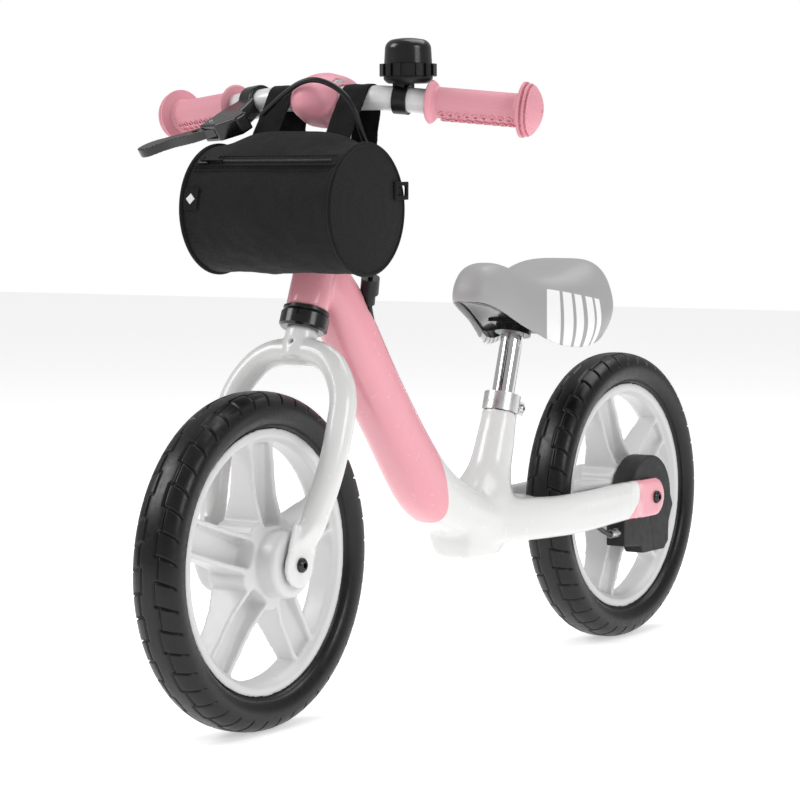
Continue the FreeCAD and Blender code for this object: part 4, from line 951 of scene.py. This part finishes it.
def build_bag():
    """Closed drum of cloth with bellied ends."""
    low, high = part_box("bag_body")
    centre_z = (low.z + high.z) / 2
    radius = (high.z - low.z) / 2
    centre = Vector((0, low.y + radius, centre_z))
    points, flat = bag_side(low, high, radius, centre)
    faces = wrapped_quads(BAG_ALONG, BAG_AROUND)
    for side, row in ((-1, 0), (1, BAG_ALONG)):
        edge = [row * BAG_AROUND + j for j in range(BAG_AROUND)]
        x = points[edge[0]].x
        previous = edge
        for ring in range(1, END_RINGS):
            part = 1 - ring / END_RINGS
            belly = 0.0025 * (1 - part * part) + noise.noise(Vector((ring * 0.2, side * 9, 0))) * 0.0004
            current = []
            for j in range(BAG_AROUND):
                turn = 2 * math.pi * j / BAG_AROUND
                reach = (radius - 0.001) * part
                spot = Vector((x + side * belly, centre.y - reach * math.sin(turn),
                               centre.z + reach * math.cos(turn)))
                current.append(len(points))
                points.append(spot)
                flat.append((spot.y, spot.z))
            for j in range(BAG_AROUND):
                after = (j + 1) % BAG_AROUND
                quad = (previous[j], previous[after], current[after], current[j])
                faces.append(quad if side > 0 else tuple(reversed(quad)))
            previous = current
        faces.append(tuple(previous) if side > 0 else tuple(reversed(previous)))
    mesh = bpy.data.meshes.new("bag_cloth_drum")
    mesh.from_pydata([tuple(point) for point in points], [], faces)
    layer = mesh.uv_layers.new(name="flat")
    for loop in mesh.loops:
        layer.data[loop.index].uv = flat[loop.vertex_index]
    mesh.materials.append(bag_cloth)
    shade_smooth(mesh)
    bag = bpy.data.objects.new("bag_cloth_drum", mesh)
    scene.collection.objects.link(bag)
    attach(bag, "steering")
    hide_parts("bag_body")
    print("bag:", len(faces), "faces, radius", round(radius, 4))
    return bag, centre, radius


bag, bag_centre, bag_radius = build_bag()

# %% [markdown]
# The zip's two rows of teeth mesh along the middle of the tape. Each tooth is a small chamfered block,
# turned to lie on the drum, and the rows are staggered by half a pitch.

# %% Zip teeth
ZIP_TURN = math.radians(42.0)
TOOTH_PITCH = 0.0021
TOOTH_LONG = 0.0030
TOOTH_WIDE = 0.0012
TOOTH_TALL = 0.0011


def tooth_points(centre, along, across, out, flip):
    """Eight corners of a tooth that narrows towards its head."""
    points = []
    for height, shrink in ((0.0, 1.0), (TOOTH_TALL, 0.7)):
        for u, v in ((-1, 0), (1, 0), (0.75, 1), (-0.75, 1)):
            spot = centre + along * (u * TOOTH_WIDE / 2 * shrink)
            spot = spot + across * (flip * (v * TOOTH_LONG * shrink - 0.0007)) + out * height
            points.append(spot)
    return points


def build_zip_teeth():
    """Both rows of teeth, in one mesh."""
    low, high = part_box("bag_zip")
    along = Vector((1, 0, 0))
    out = Vector((0, -math.sin(ZIP_TURN), math.cos(ZIP_TURN)))
    across = out.cross(along)
    base = Vector((0, bag_centre.y, bag_centre.z)) + out * (bag_radius + 0.0003)
    points = []
    faces = []
    count = int((high.x - low.x - 0.008) / TOOTH_PITCH)
    for row, flip in ((0, 1), (1, -1)):
        for i in range(count):
            x = low.x + 0.003 + (i + row * 0.5) * TOOTH_PITCH
            first = len(points)
            points += tooth_points(base + along * x, along, across, out, flip)
            quads = [(0, 1, 2, 3), (7, 6, 5, 4), (0, 4, 5, 1), (1, 5, 6, 2), (2, 6, 7, 3), (3, 7, 4, 0)]
            faces += [tuple(first + k for k in quad) for quad in quads]
    teeth = add_piece("zip_teeth", points, faces, "steering", black_gloss)
    print("zip teeth:", 2 * count)
    return teeth


build_zip_teeth()

# %% [markdown]
# Two rows of lockstitch hold the zip to the cloth. Each visible stitch is a short thread, a little
# proud of the cloth, with a gap as long as half a stitch before the next.

# %% Stitches along the zip
STITCH_LONG = 0.0024
STITCH_STEP = 0.0036
STITCH_THICK = 0.00045
STITCH_TURNS = (34.5, 49.5, 53.0)
STITCH_SIDES = 6
STITCH_ROW_HALF = 0.0745


def build_stitches():
    """Rows of thread beside the zip, in one mesh."""
    points = []
    faces = []
    for turn in STITCH_TURNS:
        angle = math.radians(turn)
        out = Vector((0, -math.sin(angle), math.cos(angle)))
        across = out.cross(Vector((1, 0, 0)))
        for i in range(int(2 * STITCH_ROW_HALF / STITCH_STEP)):
            x = -STITCH_ROW_HALF + i * STITCH_STEP
            for end in (0, 1):
                for k in range(STITCH_SIDES):
                    spin = 2 * math.pi * k / STITCH_SIDES
                    ring = across * math.cos(spin) + out * math.sin(spin)
                    reach = bag_radius + 0.0002
                    spot = Vector((x + end * STITCH_LONG, bag_centre.y, bag_centre.z))
                    points.append(spot + out * reach + ring * STITCH_THICK)
            far = len(points) - STITCH_SIDES
            first = far - STITCH_SIDES
            for k in range(STITCH_SIDES):
                after = (k + 1) % STITCH_SIDES
                faces.append((first + k, first + after, far + after, far + k))
            faces.append(tuple(first + k for k in reversed(range(STITCH_SIDES))))
            faces.append(tuple(far + k for k in range(STITCH_SIDES)))
    stitches = add_piece("zip_stitches", points, faces, "steering", webbing)
    print("stitches:", len(points) // (2 * STITCH_SIDES))


build_stitches()

# %% [markdown]
# The saddle cover is a moulded foam shell in grey synthetic leather. Its outline is a smooth closed
# curve seen from above, narrow in front and round behind, and the skin rises from that outline to a
# crown with two soft lobes. Five pale bands wrap each rear corner, wider towards the front.

# %% Saddle skin
BAND_EDGES = ((-59.5, -49.2), (-46.4, -37.8), (-34.8, -27.2), (-22.8, -14.6), (-11.8, -5.4))
SADDLE_GREY = (0.36, 0.36, 0.365)
BAND_WHITE = (0.86, 0.86, 0.86)
REAR_CENTRE_Y = 0.185


def build_saddle_skin():
    """Grey leather with pale printed bands on both rear corners."""
    material = finish("saddle_skin", SADDLE_GREY, 0.44, 0.05, patch=16, tint=0.95, grain=0.35,
                      grain_scale=950, softness=0.7)
    tree = material.node_tree
    shader = tree.nodes["Principled BSDF"]
    grey = shader.inputs["Base Color"].links[0].from_socket
    axes = object_axes(tree)
    side = math_node(tree, "ABSOLUTE", axes["X"])
    behind = math_node(tree, "SUBTRACT", axes["Y"], REAR_CENTRE_Y)
    turn = math_node(tree, "DEGREES", math_node(tree, "ARCTAN2", behind, side))
    bands = None
    for low, high in BAND_EDGES:
        middle = (low + high) / 2
        half = (high - low) / 2
        gap = math_node(tree, "ABSOLUTE", math_node(tree, "SUBTRACT", turn, middle))
        band = ramp_between(tree, gap, half - 0.15, half + 0.15, 1.0, 0.0)
        bands = band if bands is None else math_node(tree, "MAXIMUM", bands, band)
    top = math_node(tree, "MULTIPLY_ADD", turn, -0.00022, 0.3615)
    below = math_node(tree, "SUBTRACT", axes["Z"], top)
    bands = math_node(tree, "MULTIPLY", bands, ramp_between(tree, below, -0.0003, 0.0003, 1.0, 0.0))
    tree.links.new(mix_colours(tree, bands, grey, BAND_WHITE), shader.inputs["Base Color"])
    return material


saddle_skin = build_saddle_skin()

# %% Saddle shell
OUTLINE_HALF = (
    (0.000, 0.027), (0.012, 0.029), (0.020, 0.037), (0.0255, 0.054), (0.031, 0.082),
    (0.041, 0.108), (0.054, 0.134), (0.0645, 0.160), (0.068, 0.186), (0.062, 0.213),
    (0.045, 0.236), (0.022, 0.248), (0.000, 0.251),
)
EDGE_HEIGHTS = (
    (0.027, 0.3655), (0.040, 0.3623), (0.056, 0.3560), (0.070, 0.3490), (0.090, 0.3390),
    (0.108, 0.3305), (0.122, 0.3235), (0.140, 0.3180), (0.165, 0.3160), (0.190, 0.3205),
    (0.215, 0.3285), (0.251, 0.3440),
)
SPINE_HEIGHTS = (
    (0.027, 0.386), (0.045, 0.398), (0.066, 0.4015), (0.090, 0.3965), (0.120, 0.3885),
    (0.150, 0.389), (0.175, 0.395), (0.205, 0.402), (0.230, 0.402), (0.251, 0.392),
)
CORNER_STEPS = 24
SHELL_AROUND = 220
SHELL_RISE = 40
SPINE_FRONT = 0.050
SPINE_BACK = 0.182
HEM_ROWS = ((0.10, 0.0060), (0.07, 0.0010), (0.03, -0.0006))


def smooth_between(before, a, b, after, part):
    """A smooth curve from a to b that heads towards its neighbours; part runs from 0 to 1."""
    return 0.5 * (
        2 * a + (b - before) * part
        + (2 * before - 5 * a + 4 * b - after) * part ** 2
        + (3 * a - before - 3 * b + after) * part ** 3
    )


def read_curve(table, y):
    """Smoothly interpolated height at y."""
    ys = [row[0] for row in table]
    values = [row[1] for row in table]
    y = min(max(y, ys[0]), ys[-1])
    k = max(i for i in range(len(ys) - 1) if ys[i] <= y or i == 0)
    part = (y - ys[k]) / (ys[k + 1] - ys[k])
    before = values[max(k - 1, 0)]
    after = values[min(k + 2, len(values) - 1)]
    return smooth_between(before, values[k], values[k + 1], after, part)


def saddle_outline():
    """Evenly spaced points of the closed outline, as a smooth curve through its corners."""
    right = [(-x, y) for x, y in reversed(OUTLINE_HALF[1:-1])]
    corners = list(OUTLINE_HALF) + right
    count = len(corners)
    dense = []
    for i in range(count):
        p = [Vector(corners[(i + k - 1) % count]) for k in range(4)]
        for step in range(CORNER_STEPS):
            dense.append(smooth_between(*p, step / CORNER_STEPS))
    dense.append(dense[0].copy())
    lengths = [0.0]
    for a, b in zip(dense, dense[1:]):
        lengths.append(lengths[-1] + (b - a).length)
    wanted = np.linspace(0, lengths[-1], SHELL_AROUND, endpoint=False)
    xs = np.interp(wanted, lengths, [p.x for p in dense])
    ys = np.interp(wanted, lengths, [p.y for p in dense])
    return list(zip(xs, ys))


def crown(x, y):
    """Height of the crown above a point of the plan."""
    lobe = 0.001 * math.exp(-((abs(x) - 0.032) / 0.022) ** 2) * math.exp(-((y - 0.185) / 0.045) ** 2)
    return read_curve(SPINE_HEIGHTS, y) + lobe


def rearward(y):
    """Zero at the nose, one over the wide rear part."""
    return min(max((y - 0.060) / 0.090, 0.0), 1.0)


def nearest_spine(y):
    """The place on the saddle's spine that a point of the outline rises towards."""
    return min(max(y, SPINE_FRONT), SPINE_BACK)


def shell_point(x, y, turn):
    """A point of the skin over an outline point: turn runs from the hem up to the crown."""
    back = rearward(y)
    spread = max(math.cos(turn), 0.0) ** (0.66 - 0.20 * back)
    lift = math.sin(turn) ** 0.78
    tuck = 1 - (0.03 + 0.13 * back) * max(0.0, 1 - lift / 0.40) ** 2
    spine_y = nearest_spine(y)
    px = x * spread * tuck
    py = spine_y + (y - spine_y) * spread * tuck
    edge = read_curve(EDGE_HEIGHTS, y)
    return Vector((px, py, edge + (crown(px, py) - edge) * lift))


def build_saddle():
    """Shell from a turned-in hem up to the crown."""
    outline = saddle_outline()
    points = []
    row_count = len(HEM_ROWS) + SHELL_RISE + 1
    for inset, rise in HEM_ROWS:
        for x, y in outline:
            hem = shell_point(x, y, 0.0)
            spine_y = nearest_spine(y)
            inner_y = spine_y + (hem.y - spine_y) * (1 - inset)
            points.append(Vector((hem.x * (1 - inset), inner_y, hem.z + rise)))
    for rise in range(SHELL_RISE + 1):
        turn = math.pi / 2 * rise / SHELL_RISE
        for x, y in outline:
            points.append(shell_point(x, y, turn))
    faces = wrapped_quads(row_count - 1, SHELL_AROUND)
    cover = add_piece("saddle_cover_skin", points, faces, "saddle", saddle_skin)
    edit = bmesh.new()
    edit.from_mesh(cover.data)
    bmesh.ops.remove_doubles(edit, verts=edit.verts, dist=0.0002)
    bmesh.ops.recalc_face_normals(edit, faces=edit.faces)
    edit.to_mesh(cover.data)
    edit.free()
    shade_smooth(cover.data)
    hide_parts("saddle_cover")
    print("saddle:", len(cover.data.polygons), "faces")
    return cover


build_saddle()

# %% [markdown]
# The brake cable leaves the lever's bracket, arches over the stem pad and goes down behind the bag
# into the frame. Its upper end turns with the handlebar and its lower end stays with the frame.

# %% Brake cable
CABLE_ROUTE = (
    (-0.042, -0.243, 0.543), (-0.015, -0.246, 0.563), (0.013, -0.246, 0.575), (0.039, -0.242, 0.566),
    (0.055, -0.239, 0.548), (0.059, -0.235, 0.526), (0.0595, -0.222, 0.508), (0.0595, -0.203, 0.491),
    (0.057, -0.192, 0.466), (0.048, -0.186, 0.441), (0.0322, -0.1782, 0.4167), (0.025, -0.171, 0.395),
)
CABLE_DIAMETER = 0.005


def build_cable():
    """A smooth round casing along the route, turned into a mesh."""
    curve = bpy.data.curves.new("cable_route", "CURVE")
    curve.dimensions = "3D"
    curve.bevel_depth = CABLE_DIAMETER / 2
    curve.bevel_resolution = 4
    curve.resolution_u = 10
    curve.use_fill_caps = True
    spline = curve.splines.new("NURBS")
    spline.points.add(len(CABLE_ROUTE) - 1)
    for point, place in zip(spline.points, CABLE_ROUTE):
        point.co = (*place, 1.0)
    spline.order_u = 3
    spline.use_endpoint_u = True
    route = bpy.data.objects.new("cable_route", curve)
    scene.collection.objects.link(route)
    mesh = evaluated_mesh(route, "brake_cable_casing")
    bpy.data.objects.remove(route)
    mesh.materials.clear()
    mesh.materials.append(black_rubber)
    shade_smooth(mesh)
    casing = bpy.data.objects.new("brake_cable_casing", mesh)
    scene.collection.objects.link(casing)
    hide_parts("brake_cable_front")
    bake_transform(casing)
    print("cable faces:", len(mesh.polygons))
    return casing


build_cable()
